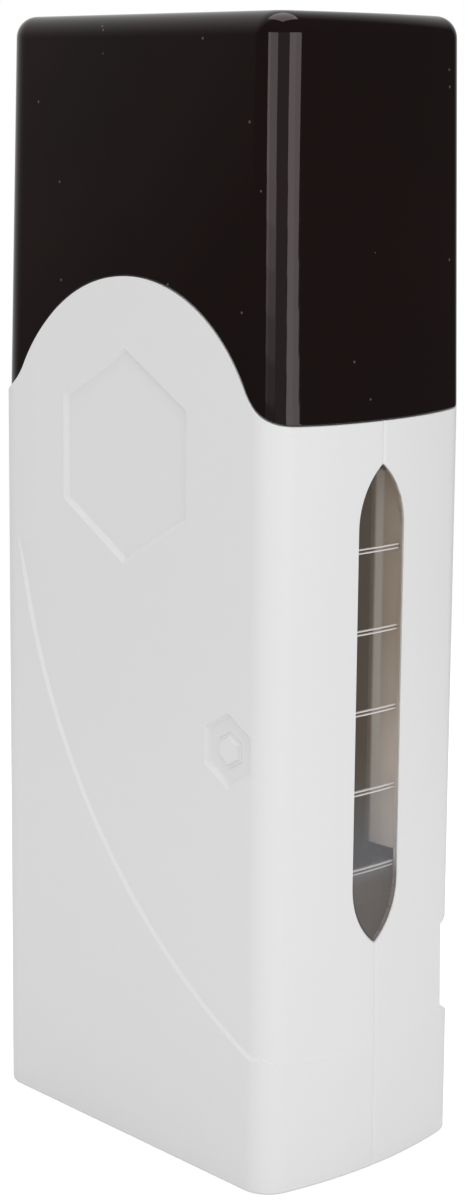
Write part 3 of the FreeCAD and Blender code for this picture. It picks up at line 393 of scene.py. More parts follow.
def hexagon_ring(radius, x, y, z):
    """Hexagon with a corner at the top, in a plane across X."""
    turns = [math.radians(90 + 60 * k) for k in range(6)]
    return [Vector((x, y + radius * math.cos(a), z + radius * math.sin(a))) for a in turns]


def hexagon_corner(flats):
    """Radius to the corners of a hexagon of a width across its flats."""
    return flats / math.sqrt(3)


def disc_ring(radius, x, y, z, count):
    """Circle of a number of points, in a plane across X."""
    turns = [2 * math.pi * k / count for k in range(count)]
    return [Vector((x, y + radius * math.cos(a), z + radius * math.sin(a))) for a in turns]


def lancet_ring(offset, y):
    """Pointed window outline in a plane across Y, grown by an offset."""
    sizes = shape()
    radius = sizes.window_point + offset
    centre_x = sizes.window_point - sizes.window_half
    rise = math.sqrt(sizes.window_point ** 2 - centre_x ** 2)
    spring_low = sizes.window_low + rise
    spring_high = window_high() - rise
    tip_turn = math.atan2(math.sqrt(radius ** 2 - centre_x ** 2), centre_x)
    turns = [tip_turn * k / POINT_STEPS for k in range(POINT_STEPS + 1)]
    side = [(radius * math.cos(a) - centre_x, spring_high + radius * math.sin(a)) for a in turns]
    lower = [(x, spring_low + spring_high - z) for x, z in reversed(side)]
    right = lower + side
    left = [(-x, z) for x, z in reversed(right[1:-1])]
    return [Vector((x, y, z)) for x, z in right + left]


def window_high():
    return seam_height() - shape().window_margin


def stadium_ring(width, height, y, z):
    """Long round outline in a plane across Y."""
    half = height / 2
    run = width / 2 - half
    turns = [math.pi * k / EDGE_STEPS - math.pi / 2 for k in range(EDGE_STEPS + 1)]
    right = [(run + half * math.cos(a), half * math.sin(a)) for a in turns]
    left = [(-x, -up) for x, up in right]
    return [Vector((x, y, z + up)) for x, up in right + left]


def bow_y(z, inset, x):
    """Place of the front face, at a height, behind its surface and beside its middle."""
    apex = housing_plan(z)[1]
    radius = shape().bow_radius
    return radius - apex - math.sqrt((radius - inset) ** 2 - x ** 2)


def bowed_plate(name, reach, low, high, front_inset, back_inset):
    """Plate that follows the bow of the front face, between two heights and two depths behind that face."""
    across = [reach * (2 * k / BOW_STEPS - 1) for k in range(BOW_STEPS + 1)]
    rings = []
    for z in (low, high):
        front = [Vector((x, bow_y(z, front_inset, x), z)) for x in across]
        back = [Vector((x, bow_y(z, back_inset, x), z)) for x in reversed(across)]
        rings.append(front + back)
    return loft(name, rings)


def window_slab(name, front_inset, back_inset):
    """Bowed plate across the whole window, between two depths behind the front face."""
    sizes = shape()
    reach = sizes.window_half + sizes.lens_flange + PAST
    low = sizes.window_low - 2 * PAST
    high = window_high() + 2 * PAST
    return bowed_plate(name, reach, low, high, front_inset, back_inset)


def rod(name, diameter, x_start, x_end, y, z):
    """Round bar along X."""
    return loft(name, [disc_ring(diameter / 2, x, y, z, ROD_STEPS) for x in (x_start, x_end)])


def sweep_place():
    """Place along the wide face and height of the sweep's centre."""
    sizes = shape()
    return -HOUSING_HIGH.y - sizes.sweep_front, seam_height() - sizes.sweep_drop


def sweep_foot():
    """Height at which the swept step reaches the front face."""
    sizes = shape()
    return sweep_place()[1] - math.sqrt(sizes.sweep_radius ** 2 - sizes.sweep_front ** 2)


def front_set_back(z):
    """Set-back of the front face, which grows slowly over the swept step and starts a little outside."""
    sizes = shape()
    share = (z - sweep_foot()) / sizes.step_fade
    return sizes.step_depth * min(max(share, 1 - OVERLAP), 1)


def core_plan(z):
    """Half width and half depth of the housing behind the swept step."""
    half, apex = housing_plan(z)
    return half - shape().step_depth, apex - front_set_back(z)


def ease(share):
    """Soft change from 0 to 1, held outside that range."""
    share = min(max(share, 0), 1)
    return share * share * (3 - 2 * share)


def core_ring(z):
    """Ring round the housing behind the swept step, which ends high up beside the back."""
    sizes = shape()
    ring = level_ring(core_plan, z, 0)
    run = sizes.step_end_run
    for point in ring:
        share = ease(1 + (point.y - sizes.step_end_y) / run) * ease(1 + (z - sizes.step_end_z) / run)
        point.x += math.copysign(OVERLAP * sizes.step_depth * share, point.x)
    return ring


def key_place():
    """Place along the wide face and height of the key."""
    return (KEY_LOW.y + KEY_HIGH.y) / 2 + shape().button_shift, (KEY_LOW.z + KEY_HIGH.z) / 2


def way_to(azimuth, elevation):
    """Direction away from the part, by a turn from its front and an angle over the floor."""
    out = math.cos(elevation)
    return Vector((out * math.sin(azimuth), -out * math.cos(azimuth), math.sin(elevation)))


def set_back_x(z):
    """Distance from the middle to the set-back outside of a wide face."""
    return housing_plan(z)[0] - shape().step_depth


# Modelling steps

def clear_selection():
    bpy.ops.object.select_all(action="DESELECT")


def make_active(piece):
    clear_selection()
    piece.select_set(True)
    bpy.context.view_layer.objects.active = piece


@contextlib.contextmanager
def editing(piece):
    """Edit mode, with everything in a piece selected."""
    make_active(piece)
    bpy.ops.object.mode_set(mode="EDIT")
    bpy.ops.mesh.select_all(action="SELECT")
    yield
    bpy.ops.object.mode_set(mode="OBJECT")


def rename(piece, name):
    piece.name = name
    piece.data.name = name


def settle_normals(piece):
    """Merges loose points and turns all faces outwards."""
    with editing(piece):
        bpy.ops.mesh.remove_doubles(threshold=SAME)
        bpy.ops.mesh.normals_make_consistent(inside=False)


def loft(name, rings):
    """Closed body through rings of points: a filled circle, extruded once for each further ring."""
    clear_selection()
    bpy.ops.mesh.primitive_circle_add(vertices=len(rings[0]), fill_type="NGON")
    piece = bpy.context.object
    rename(piece, name)
    with editing(piece):
        for _ in rings[1:]:
            bpy.ops.mesh.extrude_region_move()
    places = [axis for ring in rings for point in ring for axis in point]
    piece.data.vertices.foreach_set("co", places)
    piece.data.update()
    settle_normals(piece)
    return piece


def bar(name, low, high):
    """Block between two corners."""
    clear_selection()
    middle = (Vector(low) + Vector(high)) / 2
    bpy.ops.mesh.primitive_cube_add(size=1, location=middle)
    piece = bpy.context.object
    piece.name = name
    piece.scale = Vector(high) - Vector(low)
    bpy.ops.object.transform_apply(location=True, rotation=True, scale=True)
    return piece


def combine(piece, tool, operation):
    """Cuts, joins or trims a piece with a tool body, which is used up."""
    make_active(piece)
    step = piece.modifiers.new("Combine", "BOOLEAN")
    step.operation = operation
    step.solver = "EXACT"
    step.object = tool
    bpy.ops.object.modifier_apply(modifier=step.name)
    bpy.data.objects.remove(tool)
    if not piece.data.polygons:
        raise RuntimeError(f"nothing is left of {piece.name}")


def cut(piece, tool):
    combine(piece, tool, "DIFFERENCE")


def unite(piece, tool):
    combine(piece, tool, "UNION")


def trim(piece, tool):
    combine(piece, tool, "INTERSECT")


def clean(piece):
    """Merges points that lie almost together and drops the slivers between them."""
    with editing(piece):
        bpy.ops.mesh.remove_doubles(threshold=CLOSE)
        bpy.ops.mesh.dissolve_degenerate(threshold=CLOSE)


def smooth(piece, limit=SMOOTH_ANGLE):
    """Smooth shading up to an angle, with the large faces kept even."""
    make_active(piece)
    bpy.ops.object.shade_smooth_by_angle(angle=limit)
    even = piece.modifiers.new("Even faces", "WEIGHTED_NORMAL")
    even.mode = "FACE_AREA"
    even.weight = 100
    even.keep_sharp = True
    bpy.ops.object.modifier_apply(modifier=even.name)


def half_of(blank, name, side):
    """Copy of one side of a body, closed where it is parted."""
    make_active(blank)
    bpy.ops.object.duplicate()
    piece = bpy.context.object
    rename(piece, name)
    with editing(piece):
        bpy.ops.mesh.bisect(plane_co=(0, 0, 0), plane_no=(side, 0, 0), use_fill=True, clear_inner=True)
    settle_normals(piece)
    return piece


def hand_over(piece, body, solid, material):
    """Gives a finished piece its material, puts it under its body and hides the solid that it stands in for.
    """
    piece.data.materials.clear()
    piece.data.materials.append(bpy.data.materials[material])
    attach(piece, body)
    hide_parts(solid)


# Materials

def node(tree, kind, **values):
    """New shader node, with its inputs set by name."""
    made = tree.nodes.new(kind)
    for name, value in values.items():
        made.inputs[name.replace("_", " ")].default_value = value
    return made


def math_node(tree, operation, second=None):
    """New math node, with its second input set where it is known."""
    made = tree.nodes.new("ShaderNodeMath")
    made.operation = operation
    if second is not None:
        made.inputs[1].default_value = second
    return made


def link(tree, *pairs):
    """Joins outputs to inputs, given in pairs."""
    for output, target in pairs:
        tree.links.new(output, target)


def new_group(name, inputs, outputs):
    """Empty shader node group with named sockets."""
    group = bpy.data.node_groups.new(name, "ShaderNodeTree")
    for label, kind, value in inputs:
        socket = group.interface.new_socket(label, in_out="INPUT", socket_type=kind)
        if value is not None:
            socket.default_value = value
    for label, kind in outputs:
        group.interface.new_socket(label, in_out="OUTPUT", socket_type=kind)
    start = group.nodes.new("NodeGroupInput")
    end = group.nodes.new("NodeGroupOutput")
    return group, start, end


def group_node(tree, name):
    made = tree.nodes.new("ShaderNodeGroup")
    made.node_tree = bpy.data.node_groups[name]
    return made


def shade_of(base, share):
    """Colour with all its channels scaled."""
    return tuple(channel * share for channel in base[:3])


def colour_mix(tree):
    """New node that mixes two colours, with its factor, first, second and result sockets."""
    mix = tree.nodes.new("ShaderNodeMix")
    mix.data_type = "RGBA"
    factor, first, second = [socket for socket in mix.inputs if socket.enabled]
    result = [socket for socket in mix.outputs if socket.enabled][0]
    return factor, first, second, result


SURFACE_OUTPUTS = [
    ("Colour", "NodeSocketColor"),
    ("Roughness", "NodeSocketFloat"),
    ("Height", "NodeSocketFloat"),
]


def join_surface(group, start, end, tone, rub, fine):
    """Joins three textures to a surface group's outputs: tone to colour, rub to roughness, fine to height."""
    factor, first, second, result = colour_mix(group)
    spread = group.nodes.new("ShaderNodeMapRange")
    link(
        group,
        (tone.outputs["Fac"], factor),
        (start.outputs["Colour"], first),
        (start.outputs["Second Colour"], second),
        (rub.outputs["Fac"], spread.inputs["Value"]),
        (start.outputs["Low Roughness"], spread.inputs["To Min"]),
        (start.outputs["High Roughness"], spread.inputs["To Max"]),
        (result, end.inputs["Colour"]),
        (spread.outputs["Result"], end.inputs["Roughness"]),
        (fine.outputs["Fac"], end.inputs["Height"]),
    )


def surface_inputs():
    """Inputs of a surface group, with the values that stand in until a material sets them."""
    return [
        ("Vector", "NodeSocketVector", None),
        ("Colour", "NodeSocketColor", (0.8, 0.8, 0.8, 1)),
        ("Second Colour", "NodeSocketColor", (0.7, 0.7, 0.7, 1)),
        ("Low Roughness", "NodeSocketFloat", 0.3),
        ("High Roughness", "NodeSocketFloat", 0.4),
        ("Tone Scale", "NodeSocketFloat", 20.0),
        ("Grain Scale", "NodeSocketFloat", 2500.0),
    ]


def build_moulded_surface():
    """Moulded plastic: slow tone changes, uneven gloss and a fine grain."""
    group, start, end = new_group("moulded_surface", surface_inputs(), SURFACE_OUTPUTS)
    tone = node(group, "ShaderNodeTexNoise", Detail=3.0)
    rub = node(group, "ShaderNodeTexNoise", Detail=6.0, Roughness=0.65)
    grain = node(group, "ShaderNodeTexNoise", Detail=2.0)
    rub_scale = math_node(group, "MULTIPLY", GLOSS_PER_TONE)
    for texture in (tone, rub, grain):
        group.links.new(start.outputs["Vector"], texture.inputs["Vector"])
    link(
        group,
        (start.outputs["Tone Scale"], tone.inputs["Scale"]),
        (start.outputs["Tone Scale"], rub_scale.inputs[0]),
        (rub_scale.outputs[0], rub.inputs["Scale"]),
        (start.outputs["Grain Scale"], grain.inputs["Scale"]),
    )
    join_surface(group, start, end, tone, rub, grain)


def build_drawn_metal():
    """Drawn or rolled metal: fine lines along the metal, uneven gloss and slow tone changes."""
    inputs = surface_inputs() + [("Stretch", "NodeSocketVector", (1, 1, 0.03))]
    group, start, end = new_group("drawn_metal", inputs, SURFACE_OUTPUTS)
    stretched = group.nodes.new("ShaderNodeVectorMath")
    stretched.operation = "MULTIPLY"
    tone = node(group, "ShaderNodeTexNoise", Detail=4.0)
    lines = node(group, "ShaderNodeTexNoise", Detail=5.0, Roughness=0.6)
    link(
        group,
        (start.outputs["Vector"], stretched.inputs[0]),
        (start.outputs["Stretch"], stretched.inputs[1]),
        (start.outputs["Vector"], tone.inputs["Vector"]),
        (stretched.outputs["Vector"], lines.inputs["Vector"]),
        (start.outputs["Tone Scale"], tone.inputs["Scale"]),
        (start.outputs["Grain Scale"], lines.inputs["Scale"]),
    )
    join_surface(group, start, end, tone, lines, lines)


def build_dust_specks():
    """Scattered specks of dust, as a mask."""
    group, start, end = new_group(
        "dust_specks",
        [("Vector", "NodeSocketVector", None), ("Scale", "NodeSocketFloat", 250.0),
         ("Size", "NodeSocketFloat", 0.06), ("Share", "NodeSocketFloat", 0.3)],
        [("Mask", "NodeSocketFloat")],
    )
    cells = group.nodes.new("ShaderNodeTexVoronoi")
    near = math_node(group, "LESS_THAN")
    chosen = math_node(group, "LESS_THAN")
    both = math_node(group, "MULTIPLY")
    link(
        group,
        (start.outputs["Vector"], cells.inputs["Vector"]),
        (start.outputs["Scale"], cells.inputs["Scale"]),
        (cells.outputs["Distance"], near.inputs[0]),
        (start.outputs["Size"], near.inputs[1]),
        (cells.outputs["Color"], chosen.inputs[0]),
        (start.outputs["Share"], chosen.inputs[1]),
        (near.outputs[0], both.inputs[0]),
        (chosen.outputs[0], both.inputs[1]),
        (both.outputs[0], end.inputs["Mask"]),
    )


def new_material(name):
    material = bpy.data.materials.new(name)
    material.use_nodes = True
    return material, material.node_tree, material.node_tree.nodes["Principled BSDF"]


def surfaced(name, group, depth, values, shader_values):
    """Material with the surface that a group gives, and a bump of a depth."""
    material, tree, shader = new_material(name)
    place = tree.nodes.new("ShaderNodeTexCoord")
    surface = group_node(tree, group)
    for socket, value in values.items():
        surface.inputs[socket].default_value = value
    for socket, value in shader_values.items():
        shader.inputs[socket].default_value = value
    bump = node(tree, "ShaderNodeBump", Strength=1.0, Distance=depth)
    link(
        tree,
        (place.outputs["Object"], surface.inputs["Vector"]),
        (surface.outputs["Colour"], shader.inputs["Base Color"]),
        (surface.outputs["Roughness"], shader.inputs["Roughness"]),
        (surface.outputs["Height"], bump.inputs["Height"]),
        (bump.outputs["Normal"], shader.inputs["Normal"]),
    )
    return material


def surface_values(first, second, roughness, tone, grain):
    return {
        "Colour": (*first[:3], 1),
        "Second Colour": (*second[:3], 1),
        "Low Roughness": roughness[0],
        "High Roughness": roughness[1],
        "Tone Scale": tone,
        "Grain Scale": grain,
    }


def moulded(name, first, second, roughness, grain, depth, **shader_values):
    """Material of a moulded plastic."""
    values = surface_values(first, second, roughness, PLASTIC_TONE, grain)
    sockets = {socket.replace("_", " "): value for socket, value in shader_values.items()}
    return surfaced(name, "moulded_surface", depth, values, sockets)


def drawn(name, first, second, roughness, grain, depth, stretch):
    """Material of a drawn or rolled metal, with its lines along the axis of the small stretch."""
    values = surface_values(first, second, roughness, METAL_TONE, grain)
    values["Stretch"] = stretch
    return surfaced(name, "drawn_metal", depth, values, {"Metallic": 1.0})


def place_of(tree):
    """Texture coordinate node of a material."""
    return [made for made in tree.nodes if made.type == "TEX_COORD"][0]


def overlay(tree, share, tone):
    """Mixes a tone over a material's colour by a share that changes over the surface."""
    base = tree.nodes["Principled BSDF"].inputs["Base Color"]
    under = base.links[0].from_socket
    factor, first, second, result = colour_mix(tree)
    second.default_value = (*tone, 1)
    link(tree, (share, factor), (under, first), (result, base))


def tracked(material, scale, width, track):
    """Lays the pale tracks of a circuit board over a material's colour."""
    tree = material.node_tree
    cells = node(tree, "ShaderNodeTexVoronoi", Scale=scale)
    cells.feature = "DISTANCE_TO_EDGE"
    near = math_node(tree, "LESS_THAN", width)
    tree.links.new(place_of(tree).outputs["Object"], cells.inputs["Vector"])
    tree.links.new(cells.outputs["Distance"], near.inputs[0])
    overlay(tree, near.outputs[0], track)


def dusty(material, scale, size, share, dust):
    """Lays specks of dust over a material's colour."""
    tree = material.node_tree
    specks = group_node(tree, "dust_specks")
    for socket, value in (("Scale", scale), ("Size", size), ("Share", share)):
        specks.inputs[socket].default_value = value
    tree.links.new(place_of(tree).outputs["Object"], specks.inputs["Vector"])
    overlay(tree, specks.outputs["Mask"], dust)


def graded(material, axis, tone, start, end):
    """Lays a tone over a material's colour that grows along an axis, and gives back its share."""
    tree = material.node_tree
    split = tree.nodes.new("ShaderNodeSeparateXYZ")
    share = node(tree, "ShaderNodeMapRange", From_Min=start, From_Max=end)
    share.interpolation_type = "SMOOTHSTEP"
    tree.links.new(place_of(tree).outputs["Object"], split.inputs[0])
    tree.links.new(split.outputs[axis], share.inputs["Value"])
    overlay(tree, share.outputs["Result"], tone)
    return share.outputs["Result"]


# Pieces

def rounded_edge(plan, top, inset, radius, steps):
    """Rings over a rounded upper edge, from the wall to the flat top."""
    rings = []
    for k in range(steps + 1):
        turn = math.pi / 2 * k / steps
        drop = radius * (1 - math.sin(turn))
        reach = radius * (1 - math.cos(turn))
        rings.append(level_ring(plan, top - drop, inset + reach))
    return rings


class WARMER_OT_cap(bpy.types.Operator):
    """Model the smoked cap that lifts off"""

    bl_idname = "warmer.cap"
    bl_label = "Cap"

    def execute(self, context):
        sizes = shape()
        bevel = sizes.rim_bevel
        ceiling = CAP_HIGH.z - sizes.cap_roof
        wall = sizes.cap_wall - sizes.step_depth
        inner = rounded_edge(cap_plan, ceiling, wall, sizes.cap_inner_edge, INNER_EDGE_STEPS)
        outer = rounded_edge(cap_plan, CAP_HIGH.z, 0, sizes.cap_edge, EDGE_STEPS)
        hold = 2 * bevel
        middle = BEVEL_MIDDLE * bevel
        rim = [(wall, bevel), (wall - bevel, 0), (bevel, 0), (middle, middle), (0, bevel), (0, bevel + hold)]
        rings = list(reversed(inner))
        rings.append(level_ring(cap_plan, ceiling - sizes.cap_inner_edge - hold, wall))
        rings += [seam_ring(cap_plan, inset, sizes.seam_gap, offset) for inset, offset in rim]
        rings.append(level_ring(cap_plan, CAP_HIGH.z - sizes.cap_edge - hold, 0))
        rings += outer
        rings.append(level_ring(cap_plan, CAP_HIGH.z, sizes.cap_edge + hold))
        cap = loft("cap_smoked", rings)
        smooth(cap)
        hand_over(cap, "cap", "cap", "cap_finish")
        return {"FINISHED"}


class WARMER_OT_shells(bpy.types.Operator):
    """Model the two halves of the housing"""

    bl_idname = "warmer.shells"
    bl_label = "Housing shells"

    def execute(self, context):
        blank = self.blank()
        cut(blank, self.step_tool())
        for added in self.inner_ribs():
            unite(blank, added)
        tools = [self.hexagon_tool(-1), self.hexagon_tool(1), self.notch_tool(), self.inlet_tool()]
        for tool in tools + self.button_tools() + self.window_tools() + self.screw_tools():
            cut(blank, tool)
        for name, side in (("left_shell", -1), ("right_shell", 1)):
            shell = half_of(blank, f"{name}_white", side)
            for end in (-1, 1):
                cut(shell, self.groove_tool(side, end))
            smooth(shell, SHELL_SMOOTH_ANGLE)
            hand_over(shell, "housing", name, "shell_finish")
            self.paint_rib_shading(shell)
        bpy.data.objects.remove(blank)
        return {"FINISHED"}

    def blank(self):
        """Hollow body of both shells, up to the arched rim."""
        sizes = shape()
        bevel = sizes.rim_bevel
        low = sizes.base_bevel
        set_back = sizes.step_depth
        rings = [
            level_ring(housing_plan, 0, low),
            level_ring(housing_plan, BEVEL_MIDDLE * low, BEVEL_MIDDLE * low),
            level_ring(housing_plan, low, 0),
            seam_ring(housing_plan, 0, 0, -set_back - bevel),
            seam_ring(housing_plan, set_back + bevel, 0, 0),
            seam_ring(housing_plan, sizes.wall - bevel, 0, 0),
            seam_ring(housing_plan, sizes.wall, 0, -bevel),
            level_ring(housing_plan, sizes.floor, sizes.wall),
        ]
        return loft("housing_blank", rings)

    def step_tool(self):
        """Thin skin that the swept step takes off, with a slope at its edge on the wide faces."""
        sizes = shape()
        # The slope starts as far under the step's floor as that lies under the face
        core_half = housing_plan(seam_height() / 2)[0] - 2 * sizes.step_depth
        core_radius = sizes.sweep_radius - 2 * sizes.step_ramp
        run = 2 * sizes.step_depth + PAST
        wide_radius = sizes.sweep_radius + PAST * sizes.step_ramp / sizes.step_depth
        y, z = sweep_place()
        places = [
            (wide_radius, -core_half - run),
            (core_radius, -core_half),
            (core_radius, core_half),
            (wide_radius, core_half + run),
        ]
        sweep = loft("sweep", [disc_ring(radius, x, y, z, SWEEP_STEPS) for radius, x in places])
        end_levels = [sizes.step_end_z - sizes.step_end_run * k / END_STEPS for k in range(END_STEPS, -1, -1)]
        levels = [-PAST, sweep_foot(), sweep_foot() + sizes.step_fade, *end_levels, CAP_HIGH.z]
        cut(sweep, loft("sweep_core", [core_ring(level) for level in levels]))
        return sweep

    def hexagon_pocket(self, name, side, radius, ramp, depth, y, z):
        """Shallow hexagon with sloped sides, in one wide face."""
        surface = set_back_x(z)
        flare = ramp * PAST / depth
        floor_ring = hexagon_ring(radius - ramp, side * (surface - depth), y, z)
        mouth_ring = hexagon_ring(radius + flare, side * (surface + PAST), y, z)
        return loft(name, [floor_ring, mouth_ring])

    def hexagon_tool(self, side):
        """Large hexagon on one wide face."""
        sizes = shape()
        z = seam_height() + sizes.arch_rise - sizes.hexagon_drop
        return self.hexagon_pocket(
            "hexagon_tool", side, sizes.hexagon_radius, sizes.hexagon_ramp, sizes.hexagon_depth,
            sizes.hexagon_y, z)

    def button_tools(self):
        """Well round the key, and the hole that the key moves in."""
        sizes = shape()
        y, z = key_place()
        radius = hexagon_corner(sizes.button_well_flats)
        well = self.hexagon_pocket(
            "button_well_tool", -1, radius, sizes.button_well_ramp, sizes.button_well_depth, y, z)
        hole = hexagon_corner(sizes.button_flats + 2 * sizes.button_gap)
        outside = -set_back_x(z) - PAST
        inside = outside + sizes.wall + 2 * PAST
        return [well, loft("button_hole_tool", [hexagon_ring(hole, x, y, z) for x in (outside, inside)])]

    def paint_rib_shading(self, shell):
        """Gives the ribs beside the window and the walls of its opening their own material, whose colours
        paint their shade behind the tinted lens and the light that falls on them.
        """
        sizes = shape()
        reach = sizes.window_half + sizes.lens_flange + sizes.rib_gap + sizes.rib_thickness + PAST
        shell.data.materials.append(bpy.data.materials["rib_painted_tones"])
        slack = PAST / 10
        mouth = sizes.step_depth + sizes.window_bevel - slack
        for face in shell.data.polygons:
            x, y, z = face.center
            if abs(x) > reach or not sizes.window_low < z < window_high():
                continue
            depth = y - bow_y(z, 0, x)
            in_mouth = mouth < depth < sizes.wall - slack
            on_rib = sizes.wall + slack < depth < sizes.wall + 2 * sizes.rib_depth
            if in_mouth or on_rib:
                face.material_index = 1

    def inner_ribs(self):
        """Ribs beside the window, bosses for the screws and the wall behind the grip notch."""
        sizes = shape()
        added = []
        apex = housing_plan(sizes.window_low)[1]
        near = sizes.window_half + sizes.lens_flange + sizes.rib_gap
        for side in (-1, 1):
            x = sorted((side * near, side * (near + sizes.rib_thickness)))
            low = (x[0], sizes.wall / 2 - apex, sizes.window_low + sizes.rib_rise)
            high = (x[1], sizes.wall + sizes.rib_depth - apex, window_high() - sizes.rib_drop)
            added.append(bar("window_rib", low, high))
        floor = set_back_x(sizes.notch_low) - sizes.notch_depth
        back = sizes.notch_length - HOUSING_HIGH.y
        low = (floor - sizes.notch_wall, -HOUSING_HIGH.y, sizes.notch_low - sizes.wall / 2)
        high = (HOUSING_HIGH.x, back + sizes.wall, sizes.notch_high + sizes.wall / 2)
        backing = bar("notch_backing", low, high)
        levels = (0, HOUSING_HIGH.z / 2)
        trim(backing, loft("notch_trim", [level_ring(housing_plan, z, sizes.wall / 2) for z in levels]))
        added.append(backing)
        for y, z in self.screw_places():
            reach = housing_plan(z)[0] - sizes.wall / 2
            added.append(rod("screw_boss", sizes.screw_boss, -reach, reach, y, z))
        return added

    def screw_places(self):
        """Places along the wide face and heights of the case screws."""
        sizes = shape()
        y = SCREWS_HIGH.y - sizes.screw_head / 2
        upper = SCREWS_HIGH.z - sizes.screw_head / 2
        return [(-y, upper), (y, upper), (-y, sizes.screw_front_z), (y, sizes.screw_back_z)]

    def screw_tools(self):
        """Recesses for the screw heads in the right shell."""
        sizes = shape()
        tools = []
        for y, z in self.screw_places():
            surface = set_back_x(z)
            radius = sizes.screw_recess / 2
            bevel = sizes.edge_bevel
            places = [
                (radius, surface - sizes.screw_recess_depth),
                (radius, surface - bevel),
                (radius + bevel + PAST, surface + PAST),
            ]
            tools.append(loft("screw_recess", [disc_ring(size, x, y, z, ROD_STEPS) for size, x in places]))
        return tools

    def notch_tool(self):
        """Sloped pocket that opens at the front corner."""
        sizes = shape()
        surface = set_back_x(sizes.notch_low)
        floor = surface - sizes.notch_depth
        outside = surface + PAST
        low_flare = PAST * sizes.notch_low_ramp / sizes.notch_depth
        high_flare = PAST * sizes.notch_high_ramp / sizes.notch_depth
        profile = [
            (floor, sizes.notch_low + sizes.notch_low_ramp),
            (floor, sizes.notch_high - sizes.notch_high_ramp),
            (outside, sizes.notch_high + high_flare),
            (outside, sizes.notch_low - low_flare),
        ]
        front = -HOUSING_HIGH.y
        rings = [[Vector((x, y, z)) for x, z in profile] for y in (front - PAST, front + sizes.notch_length)]
        return loft("notch_tool", rings)

    def inlet_tool(self):
        """Opening for the power inlet at the back."""
        sizes = shape()
        z = (INLET_LOW.z + INLET_HIGH.z) / 2
        width = sizes.inlet_width + 2 * sizes.inlet_gap
        height = sizes.inlet_height + 2 * sizes.inlet_gap
        surface = housing_plan(z)[1]
        bevel = 2 * sizes.edge_bevel
        flare = 2 * (bevel + PAST)
        rings = [
            stadium_ring(width, height, surface - 2 * sizes.wall, z),
            stadium_ring(width, height, surface - bevel, z),
            stadium_ring(width + flare, height + flare, surface + PAST, z),
        ]
        return loft("inlet_tool", rings)

    def groove_tool(self, side, end):
        """Wedge that breaks the edge of one shell where the two halves meet on a narrow face."""
        sizes = shape()
        rings = []
        slope = sizes.groove_half / sizes.groove_depth
        for z in (-PAST, sweep_foot(), sweep_foot() + sizes.step_fade, seam_height() + PAST):
            surface = housing_plan(z)[1]
            if end < 0:
                surface -= max(front_set_back(z), 0)
            inner = surface - sizes.groove_depth
            outer = surface + PAST
            profile = ((-PAST, inner - PAST / slope), (slope * (outer - inner), outer), (-PAST, outer))
            rings.append([Vector((side * x, end * y, z)) for x, y in profile])
        return loft("groove_tool", rings)

    def window_tools(self):
        """Opening of the window, and the seat of its lens behind the wall."""
        sizes = shape()
        surface = sizes.step_depth - housing_plan(sizes.window_low)[1]
        bevel = sizes.window_bevel
        rings = [
            lancet_ring(bevel + PAST, surface - PAST),
            lancet_ring(0, surface + bevel),
            lancet_ring(0, surface + sizes.wall + 2 * PAST),
        ]
        seat = window_slab("seat_tool", sizes.lens_rebate, 2 * sizes.wall)
        seat_ends = (surface - PAST, surface + 4 * PAST)
        trim(seat, loft("seat_trim", [lancet_ring(sizes.lens_flange, y) for y in seat_ends]))
        return [loft("window_tool", rings), seat]


class WARMER_OT_window(bpy.types.Operator):
    """Model the clear pointed lens with its level marks"""

    bl_idname = "warmer.window"
    bl_label = "Window lens"

    def execute(self, context):
        sizes = shape()
        front_inset = sizes.step_depth + sizes.lens_setback
        back_inset = sizes.lens_rebate + sizes.lens_flange_thickness
        lens = window_slab("window_lens_clear", sizes.lens_rebate, back_inset)
        trim(lens, self.lancet_tool(sizes.lens_flange))
        pane = window_slab("lens_pane", front_inset, sizes.lens_rebate + sizes.lens_flange_thickness / 2)
        trim(pane, self.lancet_tool(-sizes.lens_gap))
        unite(lens, pane)
        clean(lens)
        smooth(lens)
        hand_over(lens, "housing", "window_lens", "lens_finish")
        self.marks(back_inset)
        return {"FINISHED"}

    def lancet_tool(self, offset):
        """Pointed bar through the window, grown by an offset."""
        y = -HOUSING_HIGH.y
        reach = 2 * shape().wall + shape().lens_flange_thickness
        return loft("lancet_tool", [lancet_ring(offset, y - PAST), lancet_ring(offset, y + reach)])

    def marks(self, back_inset):
        """Level marks: pairs of fine ridges on the back of the lens, white to paint the glints on the two
        edges of each clear mark.
        """
        sizes = shape()
        lowest = sizes.window_low + sizes.mark_foot_room
        pitch = (window_high() - sizes.mark_top_room - lowest) / (sizes.mark_count - 1)
        ridge = sizes.mark_width / 4
        front = back_inset - ridge
        back = back_inset + sizes.mark_height
        ridges = []
        for k in range(sizes.mark_count):
            middle = lowest + k * pitch
            for low in (middle - sizes.mark_width / 2, middle + sizes.mark_width / 2 - ridge):
                ridges.append(bowed_plate("level_ridge", sizes.mark_half, low, low + ridge, front, back))
        make_active(ridges[0])
        for piece in ridges:
            piece.select_set(True)
        bpy.ops.object.join()
        marks = bpy.context.object
        marks.name = "level_marks"
        smooth(marks)
        marks.data.materials.append(bpy.data.materials["mark_glint_finish"])
        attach(marks, "housing")


